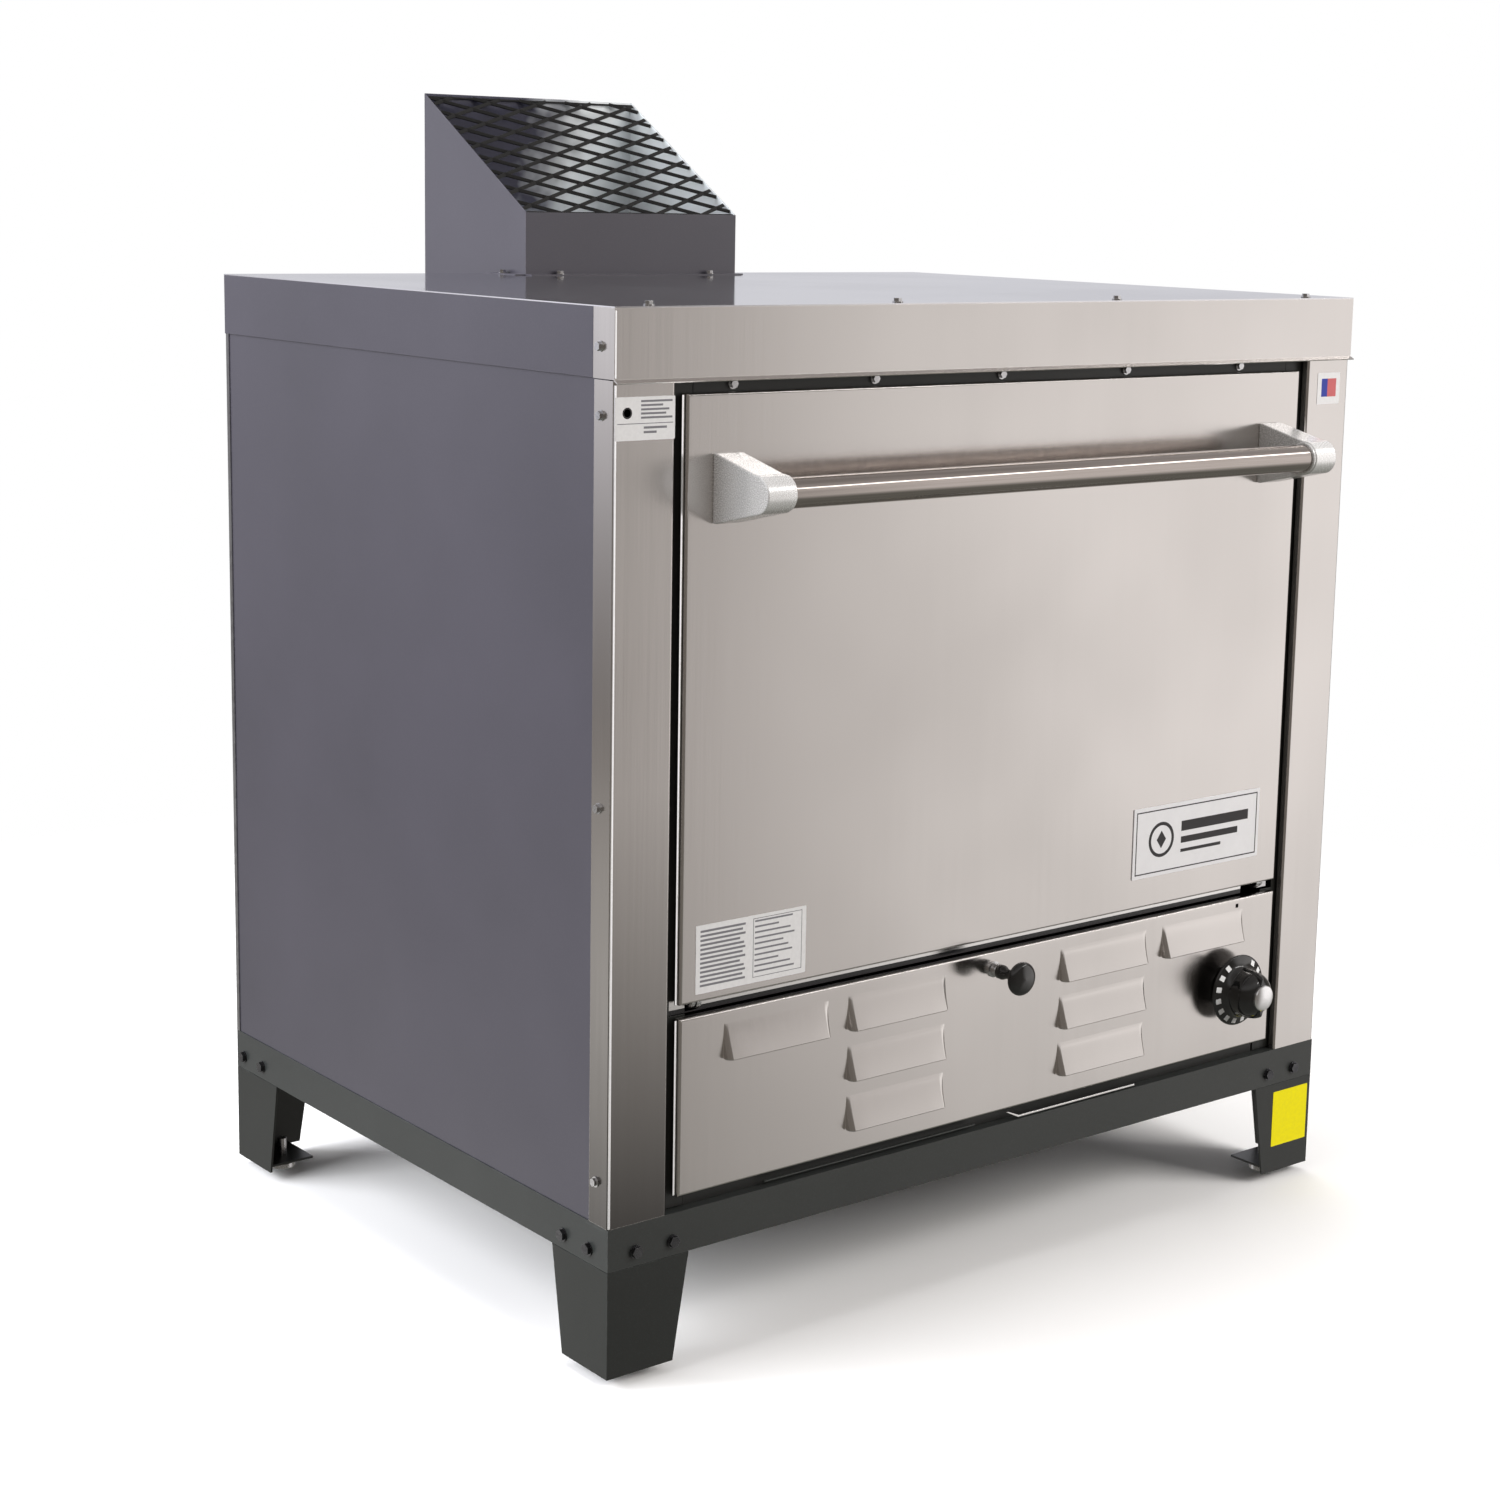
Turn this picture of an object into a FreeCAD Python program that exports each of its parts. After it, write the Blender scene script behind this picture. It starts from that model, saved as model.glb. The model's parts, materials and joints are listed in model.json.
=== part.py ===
import FreeCAD, Part
import math
import os

# Counter deck oven: one drop-down door over four hearth decks, a louvred burner panel below it,
# a draught hood behind, all on a bolted base with four folded legs.
# Millimetres. +X is the oven's right seen from the front, +Y goes to the back, +Z is up.
# "v" is the distance behind the front plane of the corner columns; negative v is in front of it.

# ---- driving dimensions -------------------------------------------------------------------
BODY_W = 965.0          # across the corner columns
BODY_D = 728.0          # front plane to back panel
HANDLE_REACH = 81.0     # handle castings in front of the front plane
HOOD_REACH = 154.0      # hood behind the back panel
SHEET = 1.2             # stainless and painted skins
HEAVY = 2.5             # base frame and legs

FEET_H = 10.0           # levelling feet below the legs
LEG_H = 104.0
RAIL_H = 41.0
TOP_Z = 990.0
CAP_H = 63.0            # fascia and cap skirts
CAP_PROUD = 1.2         # cap beyond the columns, at the front and the sides

COLUMN_W = 65.0
COLUMN_RETURN = 31.0
COLUMN_LIP = 8.0

DOOR_W = 809.0
DOOR_Z0 = 353.0
DOOR_Z1 = 913.0
SKIN_RETURN = 8.0
PLUG_HALF_W = 378.0
PLUG_Z0 = 375.0
PLUG_Z1 = 890.0
PLUG_BACK_V = 45.0
PIVOT_V = 10.0
PIVOT_Z = DOOR_Z0
PIN_R = 3.5
PIN_END_X = 390.5
PIN_CLEARANCE = 0.06
ARM_OUT_X = 383.5       # outer face of the door's hinge arm
EAR_IN_X = 384.5        # fixed hinge ear beside it
EAR_OUT_X = 388.5
HINGE_BACK_V = 60.0

HANDLE_V = -63.5        # handle tube's axis
HANDLE_Z = 828.0
TUBE_R = 14.0
TUBE_BORE_R = 12.5
SOCKET_DEPTH = 23.5
BRACKET_IN_X = 343.5
BRACKET_OUT_X = 375.5
BRACKET_NOSE_R = 17.5
BRACKET_FOOT_Z0 = 796.0
BRACKET_FOOT_Z1 = 859.0

PANEL_Z0 = 169.0
PANEL_Z1 = 340.0
LOUVRE_W = 125.0
LOUVRE_H = 33.0
LOUVRE_OUT = 12.0
LOUVRE_PITCH = 50.5
LOUVRE_TOP_Z = 294.0    # lower edge of the highest louvres
LOUVRE_INNER_X = 141.5
LOUVRE_OUTER_X = 291.5
FINGER_X0 = 9.5         # finger lip under the burner panel
FINGER_X1 = 208.5
FINGER_SLANT = 17.0
FINGER_DROP = 11.0

KNOB_X = 334.5
KNOB_Z = 243.0
DAMPER_X = -14.5
DAMPER_Z = 322.0
DAMPER_BALL_V = -38.0
DAMPER_BALL_R = 17.0
DAMPER_ROD_R = 4.0
DAMPER_SOCKET = 6.0     # from the ball's centre to the end of the rod
DAMPER_PLATE_V0 = 250.0
DAMPER_PLATE_V1 = 370.0
KNOB_SHAFT_R = 3.0
KNOB_SHAFT_V = -18.0

FRAME_V = 9.5           # recessed face frame behind the door
FRAME_T = 1.5
SILL_V = 11.2
SILL_Z0 = 341.5
SILL_Z1 = 356.0
SILL_END_X = 362.0
OPEN_HALF_W = 392.0
OPEN_Z0 = 371.0
OPEN_Z1 = 894.0

CHAMBER_HALF_W = 384.0
CHAMBER_V0 = 13.0
CHAMBER_V1 = 660.0
CHAMBER_Z0 = 367.5
CHAMBER_Z1 = 896.0
LINER_T = 1.5
DECK_COUNT = 4
DECK_Z0 = 392.0
DECK_PITCH = 130.0
DECK_T = 16.0
DECK_HALF_W = 376.0
DECK_V0 = 60.0
DECK_V1 = 640.0
SUPPORT_LEG = 20.0
SUPPORT_T = 2.0
INSULATION_X = 470.0
INSULATION_V0 = 20.0
INSULATION_V1 = 715.0
INSULATION_Z1 = 975.0
BULB_X = 357.0
BULB_Z = 880.0

HOOD_HALF_W = 147.0
HOOD_FRONT_V = 663.0
HOOD_LOW_Z = 1060.0
HOOD_TOP_Z = 1193.0
HOOD_SKIRT_Z = 780.0
MESH_LONG = 65.0        # expanded-metal diamonds: long way, across the hood
MESH_SHORT = 32.0       # short way, down the slope
STRAND = 3.0

GAS_PIPE_R = 13.35      # 3/4 in pipe
GAS_PIPE_X = 430.0
GAS_STUB = 40.0         # full-size pipe end behind the back panel
GAS_V = 40.0            # manifold behind the burner panel
BURNER_X = 150.0
BURNER_V = 60.0
BAFFLE_HALF_W = 380.0
BAFFLE_V0 = 62.0
BAFFLE_V1 = 620.0
BAFFLE_Z = 316.0
VALVE_HALF = 32.0
FLUE_HALF_W = 110.0
FLUE_Z0 = 800.0
FLUE_Z1 = 880.0

SCREW_R = 2.2
SCREW_V = 20.0          # screws through the column returns
BOLT_R = 3.0
BOLT_Z = 128.0
FOOT_INSET = 35.0
FOOT_STEM_R = 5.0
LABEL_T = 0.3
HOLE_CLEARANCE = 0.1

# ---- worked-out places --------------------------------------------------------------------
HALF_W = BODY_W / 2
FRONT_Y = HANDLE_REACH - (HANDLE_REACH + BODY_D + HOOD_REACH) / 2
RAIL_Z0 = FEET_H + LEG_H
RAIL_Z1 = RAIL_Z0 + RAIL_H
CAP_Z0 = TOP_Z - CAP_H
CAP_HALF_W = HALF_W + CAP_PROUD
TOP_SHEET_Z0 = TOP_Z - SHEET
DOOR_HALF_W = DOOR_W / 2
PANEL_SKIN_X = HALF_W - SHEET        # outer face of the painted side panels
DECK_ZS = [DECK_Z0 + DECK_PITCH * i for i in range(DECK_COUNT)]
HOOD_BACK_V = BODY_D + HOOD_REACH
SIDES = (-1, 1)

NODES = {}


# ---- shape helpers ------------------------------------------------------------------------
def at(x, v, z):
    return FreeCAD.Vector(x, FRONT_Y + v, z)


def slab(x0, x1, v0, v1, z0, z1):
    low_x = min(x0, x1)
    return Part.makeBox(abs(x1 - x0), v1 - v0, z1 - z0, at(low_x, v0, z0))


def rod(x, v, z, radius, length, direction):
    return Part.makeCylinder(radius, length, at(x, v, z), FreeCAD.Vector(*direction))


def side_profile(points, x0, x1):
    """Closed outline of (v, z) points, drawn across the oven from x0 to x1."""
    corners = [at(min(x0, x1), v, z) for v, z in points]
    face = Part.Face(Part.makePolygon(corners + corners[:1]))
    return face.extrude(FreeCAD.Vector(abs(x1 - x0), 0, 0))


def front_profile(points, v0, v1):
    """Closed outline of (x, z) points, drawn from v0 back to v1."""
    corners = [at(x, v0, z) for x, z in points]
    face = Part.Face(Part.makePolygon(corners + corners[:1]))
    return face.extrude(FreeCAD.Vector(0, v1 - v0, 0))


def join(shapes):
    whole = shapes[0].fuse(shapes[1:])
    return whole.removeSplitter()


def group(shapes):
    return Part.makeCompound(shapes)


def add(name, shape):
    NODES[name] = shape


def hexagon(x, v, z, across, height, direction):
    """Hexagonal head whose base is at the point, standing along the direction."""
    radius = across / math.sqrt(3)
    ring = []
    for step in range(7):
        angle = math.radians(60 * step)
        ring.append(FreeCAD.Vector(radius * math.cos(angle), radius * math.sin(angle), 0))
    head = Part.Face(Part.makePolygon(ring)).extrude(FreeCAD.Vector(0, 0, height))
    turn = FreeCAD.Rotation(FreeCAD.Vector(0, 0, 1), FreeCAD.Vector(*direction))
    head.Placement = FreeCAD.Placement(at(x, v, z), turn)
    return head


def sheet_screw(x, v, z, direction, length=8.0):
    """Hex washer-head screw: washer and head outside, shank through the sheets."""
    inward = tuple(-part for part in direction)
    washer = rod(x, v, z, 5.0, 1.0, direction)
    head = hexagon(x, v, z, 7.0, 4.0, direction)
    shank = rod(x, v, z, SCREW_R, length, inward)
    return join([washer, head, shank])


def base_bolt(x, v, z, direction):
    """Hex bolt through rail and leg, with its nut run up inside."""
    inward = tuple(-part for part in direction)
    step = 2 * HEAVY
    nut_x = x + inward[0] * step
    nut_v = v + inward[1] * step
    washer = rod(x, v, z, 6.5, 1.2, direction)
    head = hexagon(x, v, z, 10.0, 4.5, direction)
    shank = rod(x, v, z, BOLT_R, 12.0, inward)
    nut = hexagon(nut_x, nut_v, z, 10.0, 4.5, inward)
    return join([washer, head, shank, nut])


def drill(shape, places, radius, depth=12.0):
    """Clearance holes for fasteners given as (x, v, z, outward direction)."""
    for x, v, z, direction in places:
        inward = tuple(-part for part in direction)
        shape = shape.cut(rod(x, v, z, radius + HOLE_CLEARANCE, depth, inward))
    return shape


# ---- fastener places ----------------------------------------------------------------------
def side_screw_places():
    places = []
    for side in SIDES:
        for z in (895.0, 545.0, 196.0):
            places.append((side * HALF_W, SCREW_V, z, (side, 0, 0)))
        places.append((side * CAP_HALF_W, SCREW_V, 955.0, (side, 0, 0)))
    return places


def top_screw_places():
    return [(x, 15.0, TOP_Z, (0, 0, 1)) for x in (-436.5, -151.0, 139.0, 424.5)]


def frame_screw_places():
    return [(x, FRAME_V, 919.8, (0, -1, 0)) for x in (-348.0, -182.0, -21.0, 150.0, 318.0)]


def back_screw_places():
    places = []
    for side in SIDES:
        for z in (185.0, 440.0, 690.0, 940.0):
            places.append((side * 465.0, BODY_D, z, (0, 1, 0)))
    for x in (-240.0, 240.0):
        places.append((x, BODY_D, 970.0, (0, 1, 0)))
        places.append((x, BODY_D, 170.0, (0, 1, 0)))
    return places


def hood_screw_places():
    flange_top = TOP_Z + SHEET
    places = [(x, HOOD_FRONT_V - 6.5, flange_top, (0, 0, 1)) for x in (-105.0, 105.0)]
    for side in SIDES:
        places.append((side * (HOOD_HALF_W + 6.5), 700.0, flange_top, (0, 0, 1)))
    return places


def bolt_places():
    places = []
    for side in SIDES:
        for inset in (31.0, 73.0):
            places.append((side * (HALF_W - inset), 0.0, BOLT_Z, (0, -1, 0)))
            places.append((side * (HALF_W - inset), BODY_D, BOLT_Z, (0, 1, 0)))
            places.append((side * HALF_W, inset, BOLT_Z, (side, 0, 0)))
        for inset in (16.0, 59.0):
            places.append((side * HALF_W, BODY_D - inset, BOLT_Z, (side, 0, 0)))
    return places


SIDE_SCREWS = side_screw_places()
TOP_SCREWS = top_screw_places()
FRAME_SCREWS = frame_screw_places()
BACK_SCREWS = back_screw_places()
HOOD_SCREWS = hood_screw_places()
BOLTS = bolt_places()


# ---- base ---------------------------------------------------------------------------------
def cross_rail(v_face, inward):
    """Front or rear angle rail across the oven's whole width."""
    v_edges = sorted((v_face, v_face + inward * HEAVY))
    web = slab(-HALF_W, HALF_W, v_edges[0], v_edges[1], RAIL_Z0, RAIL_Z1)
    v_edges = sorted((v_face, v_face + inward * RAIL_H))
    ledge = slab(-HALF_W, HALF_W, v_edges[0], v_edges[1], RAIL_Z1 - HEAVY, RAIL_Z1)
    return drill(join([web, ledge]), BOLTS, BOLT_R)


def side_rail(side):
    """Side angle rail, butted between the two cross rails."""
    x_out = side * HALF_W
    web = slab(x_out, x_out - side * HEAVY, HEAVY, BODY_D - HEAVY, RAIL_Z0, RAIL_Z1)
    ledge = slab(x_out, x_out - side * RAIL_H, RAIL_H, BODY_D - RAIL_H, RAIL_Z1 - HEAVY, RAIL_Z1)
    # the web stops under the cross rails' ledges at both ends
    for v0, v1 in ((HEAVY, RAIL_H), (BODY_D - RAIL_H, BODY_D - HEAVY)):
        web = web.cut(slab(x_out, x_out - side * HEAVY, v0, v1, RAIL_Z1 - HEAVY, RAIL_Z1))
    return drill(join([web, ledge]), BOLTS, BOLT_R)


def corner_flanges(side, rear, inset, outline, thick):
    """Two flanges that meet at a base corner; the outline is (reach from the corner, z)."""
    corner_x = side * (HALF_W - inset)
    corner_v = BODY_D - inset if rear else inset
    inward = -1 if rear else 1
    across = [(corner_x - side * reach, z) for reach, z in outline]
    along = [(corner_v + inward * reach, z) for reach, z in outline]
    v_edges = sorted((corner_v, corner_v + inward * thick))
    face_flange = front_profile(across, v_edges[0], v_edges[1])
    side_flange = side_profile(along, corner_x, corner_x - side * thick)
    return [face_flange, side_flange]


def leg(side, rear):
    """Folded, tapered leg, flush with the rails, with a joggled tab bolted up behind them."""
    wide, narrow = 91.5, 74.3
    seam_z = RAIL_Z0 - 0.4
    tab_top = RAIL_Z1 - HEAVY
    joggle_z = seam_z - 6.0
    outer = [(0.0, FEET_H), (narrow, FEET_H), (wide, seam_z), (0.0, seam_z)]
    pieces = corner_flanges(side, rear, 0.0, outer, HEAVY)
    joggle = [(0.0, joggle_z), (wide - HEAVY, joggle_z), (wide - HEAVY, seam_z), (0.0, seam_z)]
    pieces += corner_flanges(side, rear, HEAVY - 0.5, joggle, HEAVY + 0.5)
    tab_w = wide - HEAVY
    tab = [(0.0, joggle_z), (tab_w, joggle_z), (tab_w, tab_top), (0.0, tab_top)]
    pieces += corner_flanges(side, rear, HEAVY, tab, HEAVY)
    foot_reach = 60.0
    foot_v = (BODY_D - foot_reach, BODY_D) if rear else (0.0, foot_reach)
    foot_out = side * HALF_W
    foot_in = side * (HALF_W - foot_reach)
    pieces.append(slab(foot_out, foot_in, foot_v[0], foot_v[1], FEET_H, FEET_H + HEAVY))
    foot_x, foot_place_v = foot_place(side, rear)
    hole = rod(foot_x, foot_place_v, 0.0, FOOT_STEM_R + HOLE_CLEARANCE, 40.0, (0, 0, 1))
    return drill(join(pieces).cut(hole), BOLTS, BOLT_R)


def foot_place(side, rear):
    return side * (HALF_W - FOOT_INSET), (BODY_D - FOOT_INSET if rear else FOOT_INSET)


def levelling_foot(side, rear):
    x, v = foot_place(side, rear)
    pad_h = 5.0
    pad = rod(x, v, 0.0, 14.0, pad_h, (0, 0, 1))
    collar = hexagon(x, v, pad_h, 14.0, FEET_H - pad_h, (0, 0, 1))
    stem = rod(x, v, FEET_H, FOOT_STEM_R, 22.0, (0, 0, 1))
    return join([pad, collar, stem])


def build_base():
    add("base_rail_front", cross_rail(0.0, 1))
    add("base_rail_rear", cross_rail(BODY_D, -1))
    feet = []
    for side, word in ((-1, "left"), (1, "right")):
        add("base_rail_" + word, side_rail(side))
        for rear, end in ((False, "front"), (True, "rear")):
            add("leg_" + end + "_" + word, leg(side, rear))
            feet.append(levelling_foot(side, rear))
    add("levelling_feet", group(feet))
    add("base_bolts", group([base_bolt(*place) for place in BOLTS]))


# ---- cabinet skins ------------------------------------------------------------------------
def column(side):
    """Stainless corner column: front face, side return and a small inner lip."""
    outer = side * HALF_W
    inner = side * (HALF_W - COLUMN_W)
    z0, z1 = RAIL_Z1, CAP_Z0 - 1.0
    face = slab(outer, inner, 0.0, SHEET, z0, z1)
    side_return = slab(outer, outer - side * SHEET, 0.0, COLUMN_RETURN, z0, z1)
    lip = slab(inner, inner + side * SHEET, 0.0, COLUMN_LIP, z0, z1)
    return drill(join([face, side_return, lip]), SIDE_SCREWS, SCREW_R)


def side_panel(side):
    outer = side * PANEL_SKIN_X
    sheet = slab(outer, outer - side * SHEET, 9.0, BODY_D - 2.0, RAIL_Z1, TOP_SHEET_Z0 - SHEET)
    return drill(sheet, SIDE_SCREWS, SCREW_R)


def cap_skirt(side):
    """Dark turned-down side of the cap, from the fascia's wrap to the back."""
    outer = side * CAP_HALF_W
    return slab(outer, outer - side * SHEET, COLUMN_RETURN + 0.5, BODY_D, CAP_Z0, TOP_SHEET_Z0)


def fascia():
    """Front of the cap, wrapped onto both sides, with a drip lip under its front edge."""
    front_v = -CAP_PROUD - 0.3
    inner_v = front_v + SHEET
    pieces = [slab(-CAP_HALF_W, CAP_HALF_W, front_v, inner_v, CAP_Z0, TOP_SHEET_Z0)]
    for side in SIDES:
        outer = side * CAP_HALF_W
        pieces.append(slab(outer, outer - side * SHEET, front_v, COLUMN_RETURN, CAP_Z0, TOP_SHEET_Z0))
    flange_x = CAP_HALF_W - SHEET
    flange_z0 = TOP_SHEET_Z0 - SHEET
    pieces.append(slab(-flange_x, flange_x, inner_v, 26.0, flange_z0, TOP_SHEET_Z0))
    lip = [(inner_v, CAP_Z0 + 1.5), (front_v, CAP_Z0 + 1.5), (front_v, CAP_Z0)]
    lip += [(front_v - 5.0, CAP_Z0 - 2.6), (front_v - 4.4, CAP_Z0 - 3.6), (inner_v, CAP_Z0 - 0.9)]
    pieces.append(side_profile(lip, -CAP_HALF_W, CAP_HALF_W))
    return drill(drill(join(pieces), SIDE_SCREWS, SCREW_R), TOP_SCREWS, SCREW_R)


def top_panel():
    sheet = slab(-CAP_HALF_W, CAP_HALF_W, -CAP_PROUD - 0.3, BODY_D, TOP_SHEET_Z0, TOP_Z)
    return drill(drill(sheet, TOP_SCREWS, SCREW_R), HOOD_SCREWS, SCREW_R)


def back_panel():
    """Back sheet with narrow flanges turned onto the sides, a flue hole and a pipe hole."""
    z0, z1 = RAIL_Z1, TOP_SHEET_Z0 - SHEET
    sheet = slab(-HALF_W, HALF_W, BODY_D - SHEET, BODY_D, z0, z1)
    pieces = [sheet]
    for side in SIDES:
        outer = side * HALF_W
        pieces.append(slab(outer, outer - side * (SHEET - 0.1), BODY_D - 6.0, BODY_D, z0, z1))
    panel = join(pieces)
    flue = slab(-FLUE_HALF_W, FLUE_HALF_W, BODY_D - 10.0, BODY_D + 10.0, FLUE_Z0, FLUE_Z1)
    pipe = rod(GAS_PIPE_X, BODY_D - 10.0, KNOB_Z, GAS_PIPE_R + 1.5, 20.0, (0, 1, 0))
    return drill(panel.cut(flue).cut(pipe), BACK_SCREWS, SCREW_R)


def bottom_pan():
    """Floor of the burner space, turned up behind the gap under the burner panel."""
    floor = slab(-PANEL_SKIN_X + 2.0, PANEL_SKIN_X - 2.0, 12.0, BODY_D - 8.0, RAIL_Z1, RAIL_Z1 + SHEET)
    upturn = slab(-OPEN_HALF_W + 1.0, OPEN_HALF_W - 1.0, 10.8, 12.0, RAIL_Z1, RAIL_Z1 + 30.0)
    return join([floor, upturn])


def build_skins():
    add("column_left", column(-1))
    add("column_right", column(1))
    add("side_panel_left", side_panel(-1))
    add("side_panel_right", side_panel(1))
    add("cap_skirt_left", cap_skirt(-1))
    add("cap_skirt_right", cap_skirt(1))
    add("top_fascia", fascia())
    add("top_panel", top_panel())
    add("back_panel", back_panel())
    add("bottom_pan", bottom_pan())
    places = SIDE_SCREWS + TOP_SCREWS + FRAME_SCREWS + BACK_SCREWS + HOOD_SCREWS
    add("sheet_screws", group([sheet_screw(*place) for place in places]))


# ---- face frame and hinge seats -----------------------------------------------------------
def build_face_frame():
    v1 = FRAME_V + FRAME_T
    frame_z1 = CAP_Z0 - 0.5
    top = slab(-OPEN_HALF_W + 0.5, OPEN_HALF_W - 0.5, FRAME_V, v1, OPEN_Z1, frame_z1)
    add("face_frame_top", drill(top, FRAME_SCREWS, SCREW_R))
    stiles = []
    for side in SIDES:
        inner = side * OPEN_HALF_W
        outer = side * (HALF_W - COLUMN_W + 8.0)
        stile = slab(inner, outer, FRAME_V, v1, RAIL_Z1 + 1.5, frame_z1)
        # room for the door's lower corner when it is open
        corner_gap = slab(inner, side * (DOOR_HALF_W + 5.5), FRAME_V - 1.0, v1 + 1.0, SILL_Z0, SILL_Z1)
        stiles.append(stile.cut(corner_gap))
    add("face_frame_stiles", group(stiles))
    # bright sill under the door: notched round the left hinge, stopped short of the right one
    low = slab(-DOOR_HALF_W - 5.0, SILL_END_X, SILL_V, SILL_V + FRAME_T, SILL_Z0, SILL_Z1)
    high = slab(-OPEN_HALF_W + 0.5, SILL_END_X, SILL_V, SILL_V + FRAME_T, SILL_Z0, OPEN_Z0)
    notch = slab(-391.0, -376.5, SILL_V - 1.0, SILL_V + 5.0, 343.0, OPEN_Z0 + 1.0)
    add("door_sill", join([low, high]).cut(notch))
    add("door_seal", door_seal())


def door_seal():
    """Flat rope seal on the face frame, along the top and both sides of the mouth."""
    width = 7.5
    x0 = OPEN_HALF_W + 0.5
    x1 = x0 + width
    v0, v1 = SKIN_RETURN + 0.2, FRAME_V - 0.1
    z0, z1 = OPEN_Z0 + 1.0, OPEN_Z1 + 1.0
    runs = [slab(-x1, x1, v0, v1, z1, z1 + width)]
    for side in SIDES:
        runs.append(slab(side * x0, side * x1, v0, v1, z0, z1 + width))
    return join(runs)


def hinge_bracket(side):
    """Fixed hinge ear beside the door's arm, bored for the pin."""
    x0, x1 = side * EAR_IN_X, side * EAR_OUT_X
    low_x = min(x0, x1)
    ear_r = 7.0
    nose = rod(low_x, PIVOT_V, PIVOT_Z, ear_r, EAR_OUT_X - EAR_IN_X, (1, 0, 0))
    tail = slab(x0, x1, PIVOT_V, HINGE_BACK_V, PIVOT_Z - ear_r, PIVOT_Z + ear_r)
    hanger = slab(x0, x1, 20.0, HINGE_BACK_V, PIVOT_Z, CHAMBER_Z0 - LINER_T)
    pieces = [nose, tail, hanger]
    if side > 0:
        # fixing flange that shows beside the end of the sill
        flange_end = EAR_OUT_X + 14.5
        pieces.append(slab(EAR_OUT_X - 0.5, flange_end, SILL_V, SILL_V + FRAME_T, SILL_Z0 + 2.0, SILL_Z1))
    # the bore runs past the pin's end on both sides
    bore_x = -PIN_END_X - 1.5 if side < 0 else EAR_IN_X - 1.0
    bore_length = PIN_END_X - EAR_IN_X + 2.5
    bore = rod(bore_x, PIVOT_V, PIVOT_Z, PIN_R + PIN_CLEARANCE, bore_length, (1, 0, 0))
    return join(pieces).cut(bore)


def hinge_arm(side):
    """Door arm down the plug's side, with the pin at its rounded lower end."""
    x0, x1 = side * PLUG_HALF_W, side * ARM_OUT_X
    eye_r = 8.0
    strap_v0, strap_v1, strap_z1 = PIVOT_V - 1.5, 40.0, 460.0
    eye = rod(min(x0, x1), PIVOT_V, PIVOT_Z, eye_r, ARM_OUT_X - PLUG_HALF_W, (1, 0, 0))
    neck = slab(x0, x1, strap_v0, PIVOT_V + eye_r, PIVOT_Z, PLUG_Z0 + 5.0)
    strap = slab(x0, x1, strap_v0, strap_v1, PLUG_Z0, strap_z1)
    pin_x = PLUG_HALF_W if side > 0 else -PIN_END_X
    pin = rod(pin_x, PIVOT_V, PIVOT_Z, PIN_R, PIN_END_X - PLUG_HALF_W, (1, 0, 0))
    return join([eye, neck, strap, pin])


def coil_spring(side):
    """Counterbalance spring in the burner space, hooked between pan and hinge."""
    turns, pitch, coil_r, wire_r = 22, 9.0, 9.0, 1.5
    helix = Part.makeHelix(pitch, turns * pitch, coil_r)
    start = Part.makeCircle(wire_r, FreeCAD.Vector(coil_r, 0, 0), FreeCAD.Vector(0, 1, 0))
    coil = Part.Wire(helix).makePipeShell([Part.Wire(start)], True, True)
    turn = FreeCAD.Rotation(FreeCAD.Vector(0, 0, 1), FreeCAD.Vector(0, 1, 0))
    coil.Placement = FreeCAD.Placement(at(side * 405.0, 120.0, 300.0), turn)
    return coil


# ---- baking chamber -----------------------------------------------------------------------
def build_chamber():
    edge_x = CHAMBER_HALF_W + 6.0
    floor_z0 = CHAMBER_Z0 - LINER_T
    v0, v1 = CHAMBER_V0, CHAMBER_V1
    walls = []
    for side in SIDES:
        x0, x1 = side * CHAMBER_HALF_W, side * (CHAMBER_HALF_W + LINER_T)
        walls.append(slab(x0, x1, v0, v1, CHAMBER_Z0, CHAMBER_Z1))
    add("chamber_walls", group(walls))
    floor = slab(-edge_x, edge_x, v0, v1, floor_z0, CHAMBER_Z0)
    for side in SIDES:
        # room for the hinge arms
        x0, x1 = side * (PLUG_HALF_W - 1.0), side * (ARM_OUT_X + 0.7)
        floor = floor.cut(slab(x0, x1, v0 - 1.0, v0 + 8.0, floor_z0 - 1.0, CHAMBER_Z0 + 1.0))
    add("chamber_floor", floor)
    add("chamber_roof", slab(-edge_x, edge_x, v0, v1, CHAMBER_Z1, CHAMBER_Z1 + LINER_T))
    back = slab(-edge_x, edge_x, v1, v1 + LINER_T, floor_z0, CHAMBER_Z1 + LINER_T)
    outlet = slab(-FLUE_HALF_W, FLUE_HALF_W, v1 - 5.0, v1 + 5.0, FLUE_Z0, FLUE_Z1)
    add("chamber_back", back.cut(outlet))
    supports = []
    for z in DECK_ZS:
        for side in SIDES:
            wall = side * CHAMBER_HALF_W
            shelf = slab(wall, wall - side * SUPPORT_LEG, DECK_V0, DECK_V1, z - SUPPORT_T, z)
            web = slab(wall, wall - side * SUPPORT_T, DECK_V0, DECK_V1, z - SUPPORT_LEG, z)
            supports.append(join([shelf, web]))
    add("deck_supports", group(supports))
    decks = [slab(-DECK_HALF_W, DECK_HALF_W, DECK_V0, DECK_V1, z, z + DECK_T) for z in DECK_ZS]
    add("hearth_decks", group(decks))
    bulb_v, bulb_length = 80.0, 200.0
    bulb = rod(BULB_X, bulb_v, BULB_Z, 4.0, bulb_length, (0, 1, 0))
    stem = rod(BULB_X, bulb_v + bulb_length, BULB_Z, 1.5, 60.0, (0, 1, 0))
    add("thermostat_bulb", join([bulb, stem]))


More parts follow.
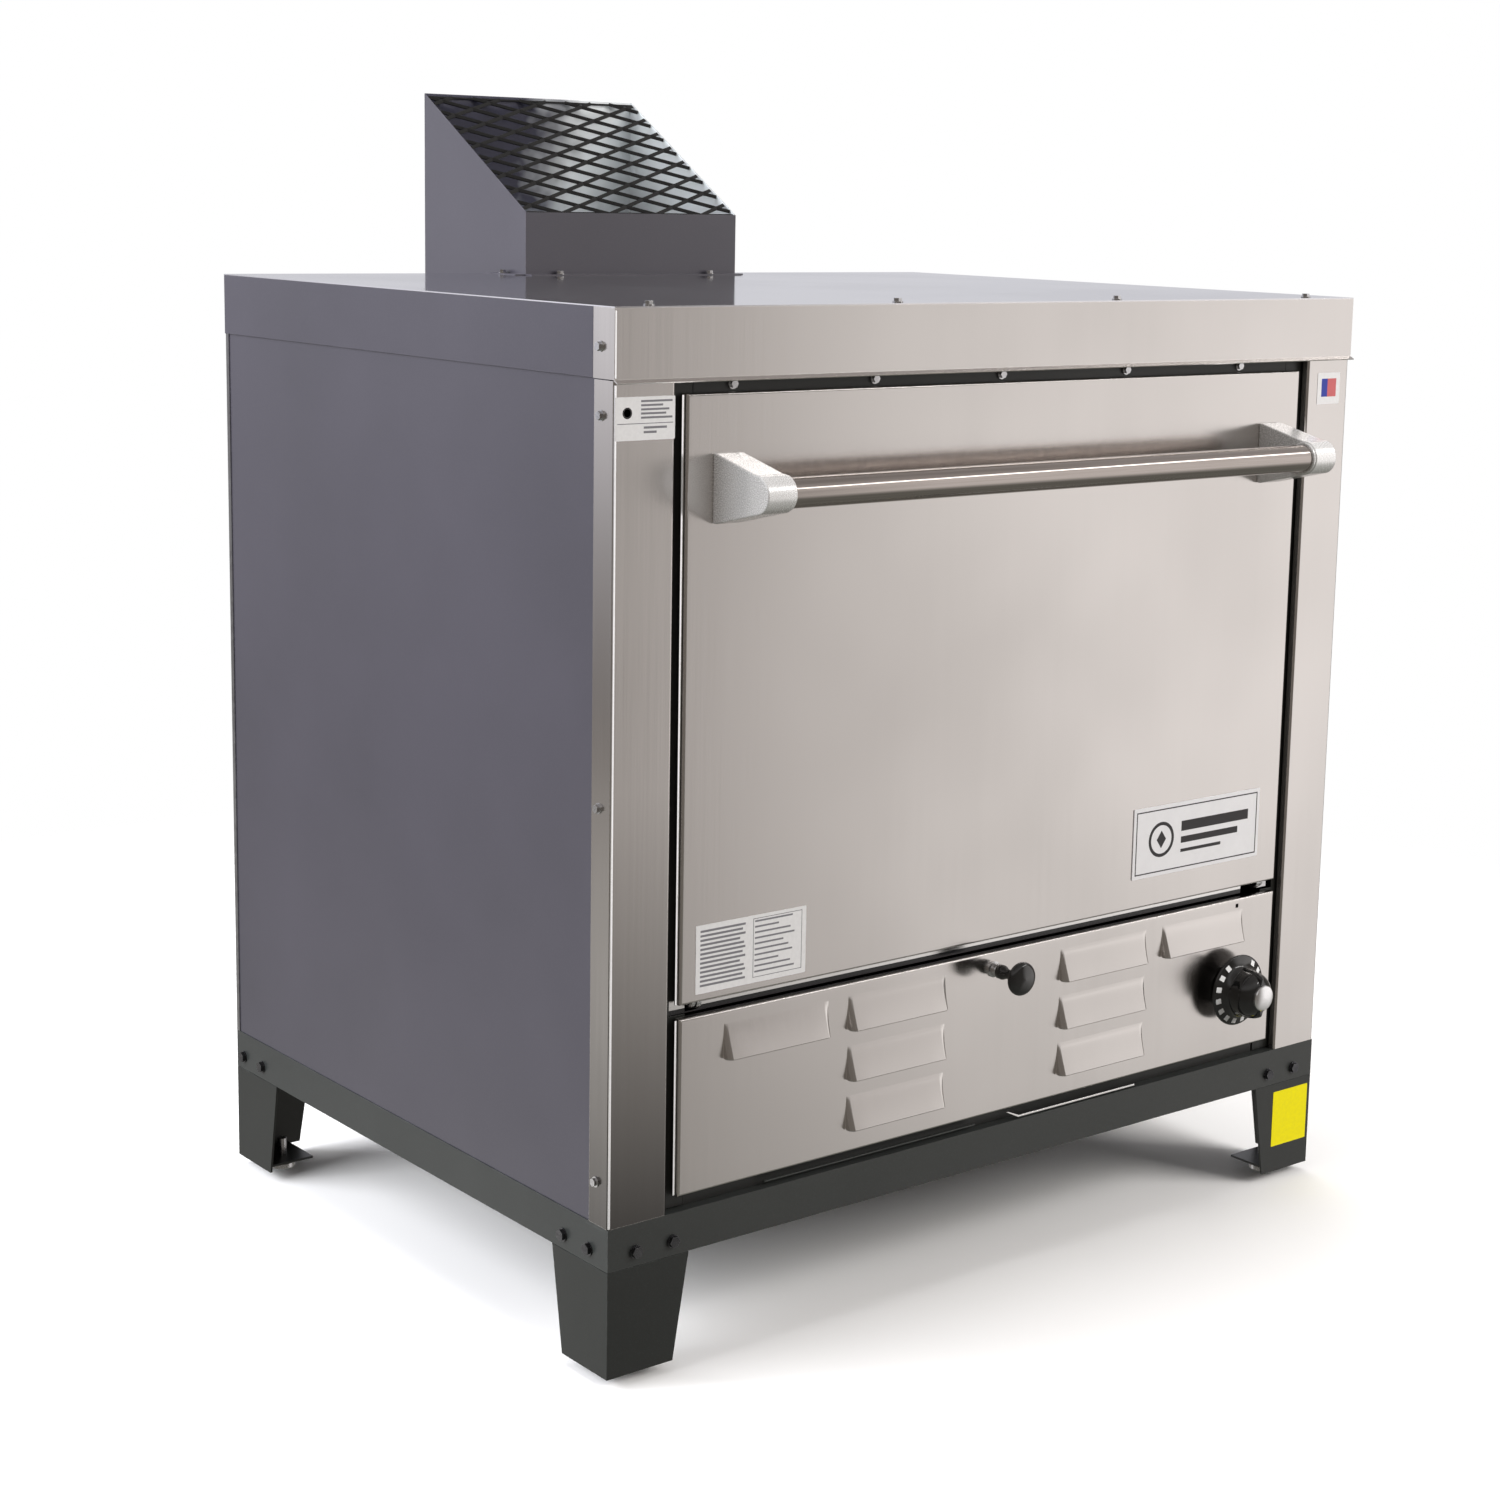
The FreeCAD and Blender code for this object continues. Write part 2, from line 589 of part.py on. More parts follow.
def build_insulation():
    outer = INSULATION_X
    z0, z1 = CHAMBER_Z0 + 1.5, CHAMBER_Z1 - 1.0
    blocks = []
    for side in SIDES:
        x0 = side * (CHAMBER_HALF_W + LINER_T + 1.0)
        blocks.append(slab(x0, side * outer, INSULATION_V0, CHAMBER_V1 - 1.0, z0, z1))
    roof_z0 = CHAMBER_Z1 + 3.0
    blocks.append(slab(-outer, outer, INSULATION_V0, INSULATION_V1, roof_z0, INSULATION_Z1))
    rear = slab(-outer, outer, CHAMBER_V1 + LINER_T + 1.0, INSULATION_V1, z0, z1 + 2.0)
    gap = 3.0
    collar = slab(-FLUE_HALF_W - gap, FLUE_HALF_W + gap, 640.0, 730.0, FLUE_Z0 - gap, FLUE_Z1 + gap)
    blocks.append(rear.cut(collar))
    add("cabinet_insulation", group(blocks))


def build_flue():
    """Rectangular collar from the chamber's back to the back panel."""
    v0, v1 = CHAMBER_V1 + LINER_T, BODY_D - SHEET
    outer = FLUE_HALF_W + SHEET
    tube = slab(-outer, outer, v0, v1, FLUE_Z0 - SHEET, FLUE_Z1 + SHEET)
    bore = slab(-FLUE_HALF_W, FLUE_HALF_W, v0 - 1.0, v1 + 1.0, FLUE_Z0, FLUE_Z1)
    add("flue_collar", tube.cut(bore))


# ---- burners and gas ----------------------------------------------------------------------
def burner(side):
    """Tube burner with a flared, open front end."""
    x = side * BURNER_X
    bell_length, tube_length = 14.0, 500.0
    bell = rod(x, BURNER_V, KNOB_Z, 24.0, bell_length, (0, 1, 0))
    tube = rod(x, BURNER_V + bell_length, KNOB_Z, 17.0, tube_length, (0, 1, 0))
    throat = rod(x, BURNER_V - 1.0, KNOB_Z, 12.0, 20.0, (0, 1, 0))
    return join([bell, tube]).cut(throat)


def pilot():
    tube = rod(60.0, 66.0, KNOB_Z + 20.0, 3.0, 60.0, (0, 1, 0))
    head = slab(52.0, 68.0, 126.0, 142.0, KNOB_Z + 12.0, KNOB_Z + 30.0)
    return join([tube, head])


def heat_baffle():
    """Three plates over and beside the burners; the lid has two slots for the damper plate."""
    lid = slab(-BAFFLE_HALF_W, BAFFLE_HALF_W, BAFFLE_V0, BAFFLE_V1, BAFFLE_Z - LINER_T, BAFFLE_Z)
    slot_half_w, slot_depth = 70.0, 30.0
    for v in (265.0, 325.0):
        x0, x1 = DAMPER_X - slot_half_w, DAMPER_X + slot_half_w
        lid = lid.cut(slab(x0, x1, v, v + slot_depth, BAFFLE_Z - 5.0, BAFFLE_Z + 5.0))
    plates = [lid]
    for side in SIDES:
        x0, x1 = side * BAFFLE_HALF_W, side * (BAFFLE_HALF_W - LINER_T)
        plates.append(slab(x0, x1, BAFFLE_V0, BAFFLE_V1, RAIL_Z1 + SHEET, BAFFLE_Z - LINER_T))
    return group(plates)


def gas_valve():
    x0, x1 = KNOB_X - VALVE_HALF, KNOB_X + VALVE_HALF
    body = slab(x0, x1, 22.0, 58.0, KNOB_Z - 28.0, KNOB_Z + 28.0)
    boss = rod(KNOB_X, 14.0, KNOB_Z, 12.0, 8.0, (0, 1, 0))
    shaft_bore = rod(KNOB_X, 10.0, KNOB_Z, KNOB_SHAFT_R + PIN_CLEARANCE, 30.0, (0, 1, 0))
    return join([body, boss]).cut(shaft_bore)


def gas_pipes():
    """Burner manifold with two spuds, and the supply pipe from the valve out through the back."""
    manifold_x = -BURNER_X - 35.0
    manifold = rod(manifold_x, GAS_V, KNOB_Z, 9.0, KNOB_X - VALVE_HALF - manifold_x, (1, 0, 0))
    spuds = [rod(side * BURNER_X, GAS_V, KNOB_Z, 5.0, 17.0, (0, 1, 0)) for side in SIDES]
    feed_x = KNOB_X + VALVE_HALF
    feed = rod(feed_x, GAS_V, KNOB_Z, GAS_PIPE_R, GAS_PIPE_X - feed_x, (1, 0, 0))
    elbow = Part.makeSphere(GAS_PIPE_R + 4.0, at(GAS_PIPE_X, GAS_V, KNOB_Z))
    stub_v = BODY_D + 2.0
    run = rod(GAS_PIPE_X, GAS_V, KNOB_Z, GAS_PIPE_R - 0.8, stub_v - GAS_V, (0, 1, 0))
    stub = rod(GAS_PIPE_X, stub_v, KNOB_Z, GAS_PIPE_R, GAS_STUB, (0, 1, 0))
    bore = rod(GAS_PIPE_X, 120.0, KNOB_Z, GAS_PIPE_R - 2.9, BODY_D, (0, 1, 0))
    supply = join([feed, elbow, run, stub]).cut(bore)
    return group([join([manifold] + spuds), supply])


def build_burners():
    add("heat_baffle", heat_baffle())
    add("burner_tubes", group([burner(-1), burner(1), pilot()]))
    add("gas_valve", gas_valve())
    add("gas_pipes", gas_pipes())


# ---- burner panel -------------------------------------------------------------------------
def louvre_profile(edge_z, shrink):
    """Bulged outline of one louvre, (v, z), from its lower edge up to the sheet."""
    points = []
    steps = 10
    height = LOUVRE_H - shrink
    reach = LOUVRE_OUT - shrink
    for step in range(steps + 1):
        share = step / steps
        bulge = math.cos(share * math.pi / 2) ** 0.8
        points.append((-reach * bulge, edge_z + height * share))
    points.append((SHEET, edge_z + height))
    points.append((SHEET, edge_z))
    return points


def louvre_places():
    places = []
    for side in SIDES:
        for row in range(3):
            places.append((side * LOUVRE_INNER_X, LOUVRE_TOP_Z - row * LOUVRE_PITCH))
        places.append((side * LOUVRE_OUTER_X, LOUVRE_TOP_Z))
    return places


def control_panel():
    x1 = DOOR_HALF_W
    sheet = slab(-x1, x1, 0.0, SHEET, PANEL_Z0, PANEL_Z1)
    pieces = [sheet, slab(-x1, x1, 0.0, 9.2, PANEL_Z1 - SHEET, PANEL_Z1)]
    pieces.append(slab(-x1, x1, 0.0, SKIN_RETURN, PANEL_Z0, PANEL_Z0 + SHEET))
    for side in SIDES:
        pieces.append(slab(side * x1, side * (x1 - SHEET), 0.0, SKIN_RETURN, PANEL_Z0, PANEL_Z1))
    lip_z0, lip_z1 = PANEL_Z0 - FINGER_DROP, PANEL_Z0 + 1.0
    lip = [(FINGER_X0, lip_z1), (FINGER_X0 + FINGER_SLANT, lip_z0)]
    lip += [(FINGER_X1 - FINGER_SLANT, lip_z0), (FINGER_X1, lip_z1)]
    pieces.append(front_profile(lip, 0.0, SHEET))
    panel = join(pieces)
    for x, edge_z in louvre_places():
        half = LOUVRE_W / 2
        hood = side_profile(louvre_profile(edge_z, 0.0), x - half, x + half)
        panel = panel.fuse(hood)
        hollow = side_profile(louvre_profile(edge_z - 0.5, SHEET), x - half + SHEET, x + half - SHEET)
        panel = panel.cut(hollow)
    panel = panel.removeSplitter()
    panel = panel.cut(rod(KNOB_X, -5.0, KNOB_Z, 6.0, 20.0, (0, 1, 0)))
    return panel.cut(rod(DAMPER_X, -5.0, DAMPER_Z, DAMPER_ROD_R + HOLE_CLEARANCE, 20.0, (0, 1, 0)))


# ---- door ---------------------------------------------------------------------------------
def door_skin():
    """Stainless pan, open at the back, notched under the hinges."""
    x1 = DOOR_HALF_W
    block = slab(-x1, x1, 0.0, SKIN_RETURN, DOOR_Z0, DOOR_Z1)
    inside = slab(-x1 + SHEET, x1 - SHEET, SHEET, SKIN_RETURN + 1.0, DOOR_Z0 + SHEET, DOOR_Z1 - SHEET)
    skin = block.cut(inside)
    for side in SIDES:
        skin = skin.cut(slab(side * 376.0, side * 392.0, SHEET, 12.0, DOOR_Z0 - 1.0, DOOR_Z0 + 2.0))
    return skin


def door_liner():
    """Back plate of the door with the hollow plug that fills the oven's mouth."""
    x1 = DOOR_HALF_W - SHEET - 0.2
    plate_v0 = SKIN_RETURN - SHEET
    plate = slab(-x1, x1, plate_v0, SKIN_RETURN, DOOR_Z0 + SHEET + 0.2, DOOR_Z1 - SHEET - 0.2)
    plug = slab(-PLUG_HALF_W, PLUG_HALF_W, plate_v0, PLUG_BACK_V, PLUG_Z0, PLUG_Z1)
    hollow_x = PLUG_HALF_W - SHEET
    hollow = slab(-hollow_x, hollow_x, 0.0, PLUG_BACK_V - SHEET, PLUG_Z0 + SHEET, PLUG_Z1 - SHEET)
    liner = join([plate, plug]).cut(hollow)
    for side in SIDES:
        liner = liner.cut(slab(side * PLUG_HALF_W, side * 392.0, 0.0, 12.0, DOOR_Z0, PLUG_Z0 + 6.0))
    return liner


def handle_casting(side):
    """Cast bracket: broad foot on the door, rounded outer end that holds the tube."""
    x_out = side * BRACKET_OUT_X
    x_in = side * BRACKET_IN_X
    body = [(0.0, BRACKET_FOOT_Z0), (0.0, BRACKET_FOOT_Z1)]
    body += [(HANDLE_V + 1.0, HANDLE_Z + BRACKET_NOSE_R), (HANDLE_V - 12.0, HANDLE_Z)]
    body += [(HANDLE_V - 3.0, HANDLE_Z - BRACKET_NOSE_R + 0.3)]
    arm = side_profile(body, x_out, x_in)
    width = BRACKET_OUT_X - BRACKET_IN_X
    nose = rod(min(x_out, x_in), HANDLE_V, HANDLE_Z, BRACKET_NOSE_R, width, (1, 0, 0))
    depth = SOCKET_DEPTH + 0.5
    socket_x = min(x_in, x_in + side * depth)
    socket = rod(socket_x, HANDLE_V, HANDLE_Z, TUBE_R + HOLE_CLEARANCE, depth, (1, 0, 0))
    return join([arm, nose]).cut(socket)


def handle_tube():
    half = BRACKET_IN_X + SOCKET_DEPTH
    tube = rod(-half, HANDLE_V, HANDLE_Z, TUBE_R, 2 * half, (1, 0, 0))
    return tube.cut(rod(-half - 1.0, HANDLE_V, HANDLE_Z, TUBE_BORE_R, 2 * half + 2.0, (1, 0, 0)))


def build_door():
    add("door_skin", door_skin())
    add("door_liner", door_liner())
    fill_x = PLUG_HALF_W - SHEET - 0.5
    z0, z1 = PLUG_Z0 + SHEET + 0.5, PLUG_Z1 - SHEET - 0.5
    add("door_insulation", slab(-fill_x, fill_x, SHEET + 0.5, PLUG_BACK_V - SHEET - 0.5, z0, z1))
    add("handle_bracket_left", handle_casting(-1))
    add("handle_bracket_right", handle_casting(1))
    add("handle_tube", handle_tube())
    add("hinge_arms", group([hinge_arm(side) for side in SIDES]))
    add("hinge_brackets", group([hinge_bracket(side) for side in SIDES]))
    add("door_springs", group([coil_spring(side) for side in SIDES]))
    plate_t = 1.0
    add("nameplate", slab(178.5, 372.5, -plate_t, 0.0, 385.0, 461.0))
    add("door_label", slab(-387.5, -258.5, -LABEL_T, 0.0, 361.0, 426.0))


# ---- knob and damper ----------------------------------------------------------------------
def build_controls():
    dial_profile = [(0.0, -3.0), (40.5, -3.0), (40.5, -8.0), (30.0, -20.0), (19.0, -24.0)]
    dial_profile += [(17.5, -50.0), (13.0, -57.0), (0.0, -57.0)]
    corners = [at(KNOB_X + radius, v, KNOB_Z) for radius, v in dial_profile]
    face = Part.Face(Part.makePolygon(corners + corners[:1]))
    knob = face.revolve(at(KNOB_X, 0.0, KNOB_Z), FreeCAD.Vector(0, 1, 0), 360)
    knob = knob.cut(rod(KNOB_X, KNOB_SHAFT_V, KNOB_Z, KNOB_SHAFT_R, 20.0, (0, 1, 0)))
    add("thermostat_knob", knob)
    add("thermostat_shaft", rod(KNOB_X, KNOB_SHAFT_V, KNOB_Z, KNOB_SHAFT_R, 52.0, (0, 1, 0)))
    ball = Part.makeSphere(DAMPER_BALL_R, at(DAMPER_X, DAMPER_BALL_V, DAMPER_Z))
    rod_v = DAMPER_BALL_V + DAMPER_SOCKET
    ball = ball.cut(rod(DAMPER_X, rod_v, DAMPER_Z, DAMPER_ROD_R + HOLE_CLEARANCE, 20.0, (0, 1, 0)))
    add("damper_ball", ball)
    pull = rod(DAMPER_X, rod_v, DAMPER_Z, DAMPER_ROD_R, DAMPER_PLATE_V1 - rod_v, (0, 1, 0))
    plate_top = DAMPER_Z - DAMPER_ROD_R + 0.2
    plate_half_w, plate_t = 90.0, 1.5
    x0, x1 = DAMPER_X - plate_half_w, DAMPER_X + plate_half_w
    plate = slab(x0, x1, DAMPER_PLATE_V0, DAMPER_PLATE_V1, plate_top - plate_t, plate_top)
    add("damper_rod", join([pull, plate]))


# ---- draught hood -------------------------------------------------------------------------
def build_hood():
    x1 = HOOD_HALF_W
    flange = 13.0
    front = slab(-x1, x1, HOOD_FRONT_V, HOOD_FRONT_V + SHEET, TOP_Z, HOOD_LOW_Z)
    foot = slab(-x1, x1, HOOD_FRONT_V - flange, HOOD_FRONT_V, TOP_Z, TOP_Z + SHEET)
    add("hood_front", drill(join([front, foot]), HOOD_SCREWS, SCREW_R))
    inner_v0, inner_v1 = HOOD_FRONT_V + SHEET, HOOD_BACK_V - SHEET
    rise = (HOOD_TOP_Z - HOOD_LOW_Z) / (HOOD_BACK_V - HOOD_FRONT_V)
    outline = [(inner_v0, TOP_Z), (inner_v0, HOOD_LOW_Z + rise * SHEET)]
    outline += [(inner_v1, HOOD_TOP_Z - rise * SHEET), (inner_v1, HOOD_SKIRT_Z)]
    outline += [(BODY_D, HOOD_SKIRT_Z), (BODY_D, TOP_Z)]
    for side, word in ((-1, "left"), (1, "right")):
        cheek = side_profile(outline, side * x1, side * (x1 - SHEET))
        foot = slab(side * x1, side * (x1 + flange), inner_v0, BODY_D - 1.0, TOP_Z, TOP_Z + SHEET)
        add("hood_side_" + word, drill(join([cheek, foot]), HOOD_SCREWS, SCREW_R))
    add("hood_back", slab(-x1, x1, inner_v1, HOOD_BACK_V, HOOD_SKIRT_Z, HOOD_TOP_Z))
    add("flue_mesh", flue_mesh())


def flue_mesh():
    """Expanded-metal cover: staggered diamonds, lying just inside the hood's slope."""
    run = HOOD_BACK_V - HOOD_FRONT_V - 2 * SHEET - 4.0
    rise = (HOOD_TOP_Z - HOOD_LOW_Z) / (HOOD_BACK_V - HOOD_FRONT_V)
    slope = math.atan(rise)
    length = run / math.cos(slope)
    width = 2 * (HOOD_HALF_W - SHEET) - 1.0
    thick = 1.6
    margin = 2.0
    cutter_z, cutter_h = -4.0, 9.0
    sheet = Part.makeBox(width, length, thick, FreeCAD.Vector(-width / 2, 0, 0))
    field = Part.makeBox(width - 2 * margin, length - 2 * margin, cutter_h)
    field.translate(FreeCAD.Vector(-width / 2 + margin, margin, cutter_z))
    half_u = MESH_LONG / 2 - STRAND
    half_w = MESH_SHORT / 2 - STRAND / 2
    diamonds = []
    for row in range(int(2 * length / MESH_SHORT) + 2):
        shift = MESH_LONG / 2 if row % 2 else 0.0
        for column_index in range(int(width / MESH_LONG) + 2):
            u = -width / 2 + column_index * MESH_LONG + shift
            w = row * MESH_SHORT / 2
            ring = [(u - half_u, w), (u, w - half_w), (u + half_u, w), (u, w + half_w)]
            corners = [FreeCAD.Vector(a, b, cutter_z) for a, b in ring]
            face = Part.Face(Part.makePolygon(corners + corners[:1]))
            diamonds.append(face.extrude(FreeCAD.Vector(0, 0, cutter_h)).common(field))
    smallest = 20.0
    holes = [hole for hole in diamonds if hole.Volume > smallest]
    mesh = sheet.cut(Part.makeCompound(holes))
    turn = FreeCAD.Rotation(FreeCAD.Vector(1, 0, 0), math.degrees(slope))
    drop = thick / math.cos(slope) + 0.6
    start_v = HOOD_FRONT_V + SHEET + 0.5 + thick * math.sin(slope)
    mesh.Placement = FreeCAD.Placement(at(0.0, start_v, HOOD_LOW_Z + rise * SHEET - drop), turn)
    return mesh


# ---- labels -------------------------------------------------------------------------------
def build_labels():
    """Paper tags on the two columns and on the front right leg."""
    left_tag = slab(-HALF_W + 1.0, -HALF_W + 64.5, -LABEL_T, 0.0, 874.0, 912.0)
    right_tag = slab(433.5, 469.5, -LABEL_T, 0.0, 876.0, 910.0)
    leg_tag = slab(421.0, 478.0, -LABEL_T, 0.0, 40.0, 104.0)
    add("paper_tags", group([left_tag, right_tag, leg_tag]))


build_base()
build_skins()
build_face_frame()
build_chamber()
build_insulation()
build_flue()
build_burners()
add("control_panel", control_panel())
build_door()
build_controls()
build_hood()
build_labels()

os.makedirs("parts", exist_ok=True)
for name, shape in NODES.items():
    shape.exportStep("parts/" + name + ".step")
print(len(NODES), "nodes")
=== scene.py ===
import json
import math
import bpy
import bmesh
from mathutils import Matrix, Vector


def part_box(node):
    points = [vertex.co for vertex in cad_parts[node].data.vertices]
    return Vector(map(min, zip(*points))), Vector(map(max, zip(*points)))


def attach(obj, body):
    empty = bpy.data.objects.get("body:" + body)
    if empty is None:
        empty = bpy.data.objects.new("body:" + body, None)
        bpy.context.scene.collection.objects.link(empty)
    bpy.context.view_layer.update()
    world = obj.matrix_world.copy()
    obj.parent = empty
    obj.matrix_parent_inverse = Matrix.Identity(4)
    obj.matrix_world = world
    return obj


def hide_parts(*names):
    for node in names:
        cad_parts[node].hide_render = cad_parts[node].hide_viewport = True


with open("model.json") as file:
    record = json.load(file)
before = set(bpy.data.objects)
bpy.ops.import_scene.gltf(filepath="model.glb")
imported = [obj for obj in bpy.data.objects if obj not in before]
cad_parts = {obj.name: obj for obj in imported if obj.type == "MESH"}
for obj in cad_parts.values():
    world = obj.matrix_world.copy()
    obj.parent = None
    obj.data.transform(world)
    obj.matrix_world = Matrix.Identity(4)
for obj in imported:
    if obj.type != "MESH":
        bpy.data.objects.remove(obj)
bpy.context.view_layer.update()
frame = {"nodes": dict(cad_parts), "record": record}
NODES = frame["nodes"]
SLOT_OF = {part["node"]: part["material_slot"] for part in frame["record"]["subparts"]}

# Sizes are in millimetres, as in the CAD, and at() turns a place into metres.
MM = 0.001
SHEET = 1.2
COLUMN_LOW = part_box("column_left")[0]
HALF_W, FRONT_Y = -COLUMN_LOW.x / MM, COLUMN_LOW.y / MM
PANEL_LOW, PANEL_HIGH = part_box("control_panel")
DOOR_LOW, DOOR_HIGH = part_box("door_skin")
CAP_LOW, CAP_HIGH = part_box("top_fascia")
SIDES = ((-1, "left"), (1, "right"))


def at(x, v, z):
    return Vector((x * MM, (FRONT_Y + v) * MM, z * MM))


# ---- materials -------------------------------------------------------
class Look:
    """One material: a principled shader and short ways to add the nodes that drive it."""

    def __init__(self, name, **sockets):
        self.material = bpy.data.materials.new(name)
        self.material.use_nodes = True
        self.tree = self.material.node_tree
        self.shader = self.tree.nodes["Principled BSDF"]
        for socket, value in sockets.items():
            self.shader.inputs[socket.replace("_", " ")].default_value = value
        self.place = self.add("ShaderNodeTexCoord").outputs["Object"]

    def add(self, kind, **settings):
        node = self.tree.nodes.new(kind)
        for key, value in settings.items():
            setattr(node, key, value)
        return node

    def feed(self, socket, value):
        if isinstance(value, bpy.types.NodeSocket):
            self.tree.links.new(value, socket)
        else:
            socket.default_value = value

    def set(self, name, value):
        self.feed(self.shader.inputs[name], value)

    def stretched(self, stretch):
        mapping = self.add("ShaderNodeMapping")
        mapping.inputs["Scale"].default_value = stretch
        self.feed(mapping.inputs["Vector"], self.place)
        return mapping.outputs["Vector"]

    def noise(self, scale, stretch=(1, 1, 1), detail=3.0, rough=0.55):
        node = self.add("ShaderNodeTexNoise")
        node.inputs["Scale"].default_value = scale
        node.inputs["Detail"].default_value = detail
        node.inputs["Roughness"].default_value = rough
        self.feed(node.inputs["Vector"], self.stretched(stretch))
        return node.outputs["Fac"]

    def cells(self, scale, output="Distance"):
        node = self.add("ShaderNodeTexVoronoi")
        node.inputs["Scale"].default_value = scale
        self.feed(node.inputs["Vector"], self.place)
        return node.outputs[output]

    def span(self, value, low, high, start=0.3, end=0.7):
        """Maps start..end of a value onto low..high, held at both ends."""
        node = self.add("ShaderNodeMapRange")
        for index, number in enumerate((start, end, low, high)):
            node.inputs[index + 1].default_value = number
        self.feed(node.inputs[0], value)
        return node.outputs[0]

    def maths(self, operation, first, second=0.0):
        node = self.add("ShaderNodeMath", operation=operation)
        self.feed(node.inputs[0], first)
        self.feed(node.inputs[1], second)
        return node.outputs[0]

    def mix(self, factor, first, second):
        node = self.add("ShaderNodeMix", data_type="RGBA")
        self.feed(node.inputs["Factor"], factor)
        for socket, colour in ((node.inputs[6], first), (node.inputs[7], second)):
            plain = not isinstance(colour, bpy.types.NodeSocket)
            self.feed(socket, (*colour, 1.0) if plain else colour)
        return node.outputs[2]

    def bump(self, height, strength, distance=0.0005):
        node = self.add("ShaderNodeBump")
        node.inputs["Strength"].default_value = strength
        node.inputs["Distance"].default_value = distance
        self.feed(node.inputs["Height"], height)
        self.set("Normal", node.outputs["Normal"])

    def now(self, name):
        """What drives one of the shader's sockets so far."""
        return self.shader.inputs[name].links[0].from_socket

    def edges(self, width_mm):
        """1 along the edges of the shape and 0 on its faces."""
        soft = self.add("ShaderNodeBevel", samples=4)
        soft.inputs["Radius"].default_value = width_mm * MM
        true = self.add("ShaderNodeNewGeometry")
        dot = self.add("ShaderNodeVectorMath", operation="DOT_PRODUCT")
        self.feed(dot.inputs[0], soft.outputs["Normal"])
        self.feed(dot.inputs[1], true.outputs["Normal"])
        return self.span(dot.outputs["Value"], 1.0, 0.0, 0.80, 0.985)

    def along(self, axis):
        """The place along an axis of the object's own frame."""
        split = self.add("ShaderNodeSeparateXYZ")
        self.feed(split.inputs[0], self.place)
        return split.outputs[axis]

    def within(self, axis, low_mm, high_mm):
        """1 between two places along an axis of the object's own frame, 0 outside them."""
        place = self.along(axis)
        above = self.maths("GREATER_THAN", place, low_mm * MM)
        below = self.maths("LESS_THAN", place, high_mm * MM)
        return self.maths("MULTIPLY", above, below)


def lighter(colour, gain):
    return [min(1.0, channel * gain) for channel in colour]


def brushed(name, colour, dark, roughness, grain, turned, bump, painted_shade=None):
    """Brushed sheet metal; grain is ALONG_X or ALONG_Z, and turned is its anisotropy.

    The last argument is (low_mm, high_mm, share): painted shade, the colour falls to that share
    towards the lower height.
    """
    look = Look(name, Metallic=1.0, Anisotropic=turned)
    # noise scale for each axis: dense across the grain, long along it
    fine, broad = [700.0] * 3, [150.0] * 3
    fine[grain], broad[grain] = 7.0, 1.6
    lines = look.noise(1.0, fine, 2.0, 0.6)
    bands = look.noise(1.0, broad, 2.0, 0.5)
    clouds = look.noise(3.2, detail=2.0)
    streaks = look.maths("ADD", look.maths("MULTIPLY", lines, 0.62),
                         look.maths("MULTIPLY", bands, 0.38))
    base = look.mix(look.span(streaks, 0.0, 1.0, 0.34, 0.66), dark, colour)
    handling_and_shade = look.mix(look.span(clouds, 0.0, 0.16, 0.42, 0.70), base, dark)
    # painted shade: the colour darkens towards the lower height
    if painted_shade:
        low, high, share = painted_shade
        lit_share = look.span(look.along("Z"), 0.0, 1.0, low * MM, high * MM)
        handling_and_shade = look.mix(lit_share, [channel * share for channel in dark], handling_and_shade)
    look.set("Base Color", look.mix(look.edges(1.2), handling_and_shade, lighter(colour, 1.25)))
    smear = look.span(clouds, -0.03, 0.04)
    polish = look.span(streaks, roughness - 0.02, roughness + 0.03)
    look.set("Roughness", look.maths("ADD", polish, smear))
    look.bump(streaks, bump, 0.00025)
    return look


def painted(name, colour, dark, worn, roughness, grit, bump, wear=0.5):
    """Sprayed or powder-coated steel: orange peel, faint clouds, and lighter worn edges."""
    look = Look(name, Metallic=0.0, Coat_Weight=0.35, Coat_Roughness=0.32)
    clouds = look.noise(4.0, detail=4.0)
    speck = look.noise(grit, detail=2.0, rough=0.7)
    body = look.mix(look.span(clouds, 0.0, 1.0), dark, colour)
    body = look.mix(look.span(speck, 0.0, 0.35, 0.55, 0.80), body, worn)
    patches = look.span(look.noise(38.0, detail=4.0), 0.0, wear, 0.42, 0.62)
    chips = look.maths("MULTIPLY", look.edges(1.6), patches)
    look.set("Base Color", look.mix(chips, body, worn))
    rubbed = look.span(look.noise(2.3, detail=3.0), roughness - 0.05, roughness + 0.07)
    look.set("Roughness", rubbed)
    look.bump(speck, bump, 0.0004)
    return look


def hood_look():
    """Satin paint outside the draught hood; inside, painted shade at the left that turns to a
    painted bright reflection near the right-hand corner.
    """
    look = painted("hood_paint", *PAINT_COLOURS, roughness=0.34, grit=900.0, bump=0.16)
    look.set("Specular IOR Level", 0.95)
    back_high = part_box("hood_back")[1]
    side_in, back_in = back_high.x / MM - SHEET / 2, back_high.y / MM - SHEET / 2
    front_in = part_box("hood_front")[1].y / MM - SHEET / 2
    inside = look.maths("MULTIPLY", look.within("X", -side_in, side_in),
                        look.within("Y", front_in, back_in))
    # inside: painted shade at the left, turning in blotches to a painted reflection towards the
    # right
    wander = look.span(look.noise(16.0, detail=3.0), -40 * MM, 40 * MM)
    across = look.maths("ADD", look.along("X"), wander)
    bright = look.span(across, 0.0, 1.0, -15 * MM, 90 * MM)
    shade_to_glint = look.mix(bright, (0.05, 0.05, 0.08), (0.92, 0.97, 1.0))
    smoother = look.maths("MULTIPLY", inside, 0.10)
    look.set("Base Color", look.mix(inside, look.now("Base Color"), shade_to_glint))
    look.set("Metallic", look.maths("MULTIPLY", inside, 0.25))
    look.set("Roughness", look.maths("SUBTRACT", look.now("Roughness"), smoother))
    return look


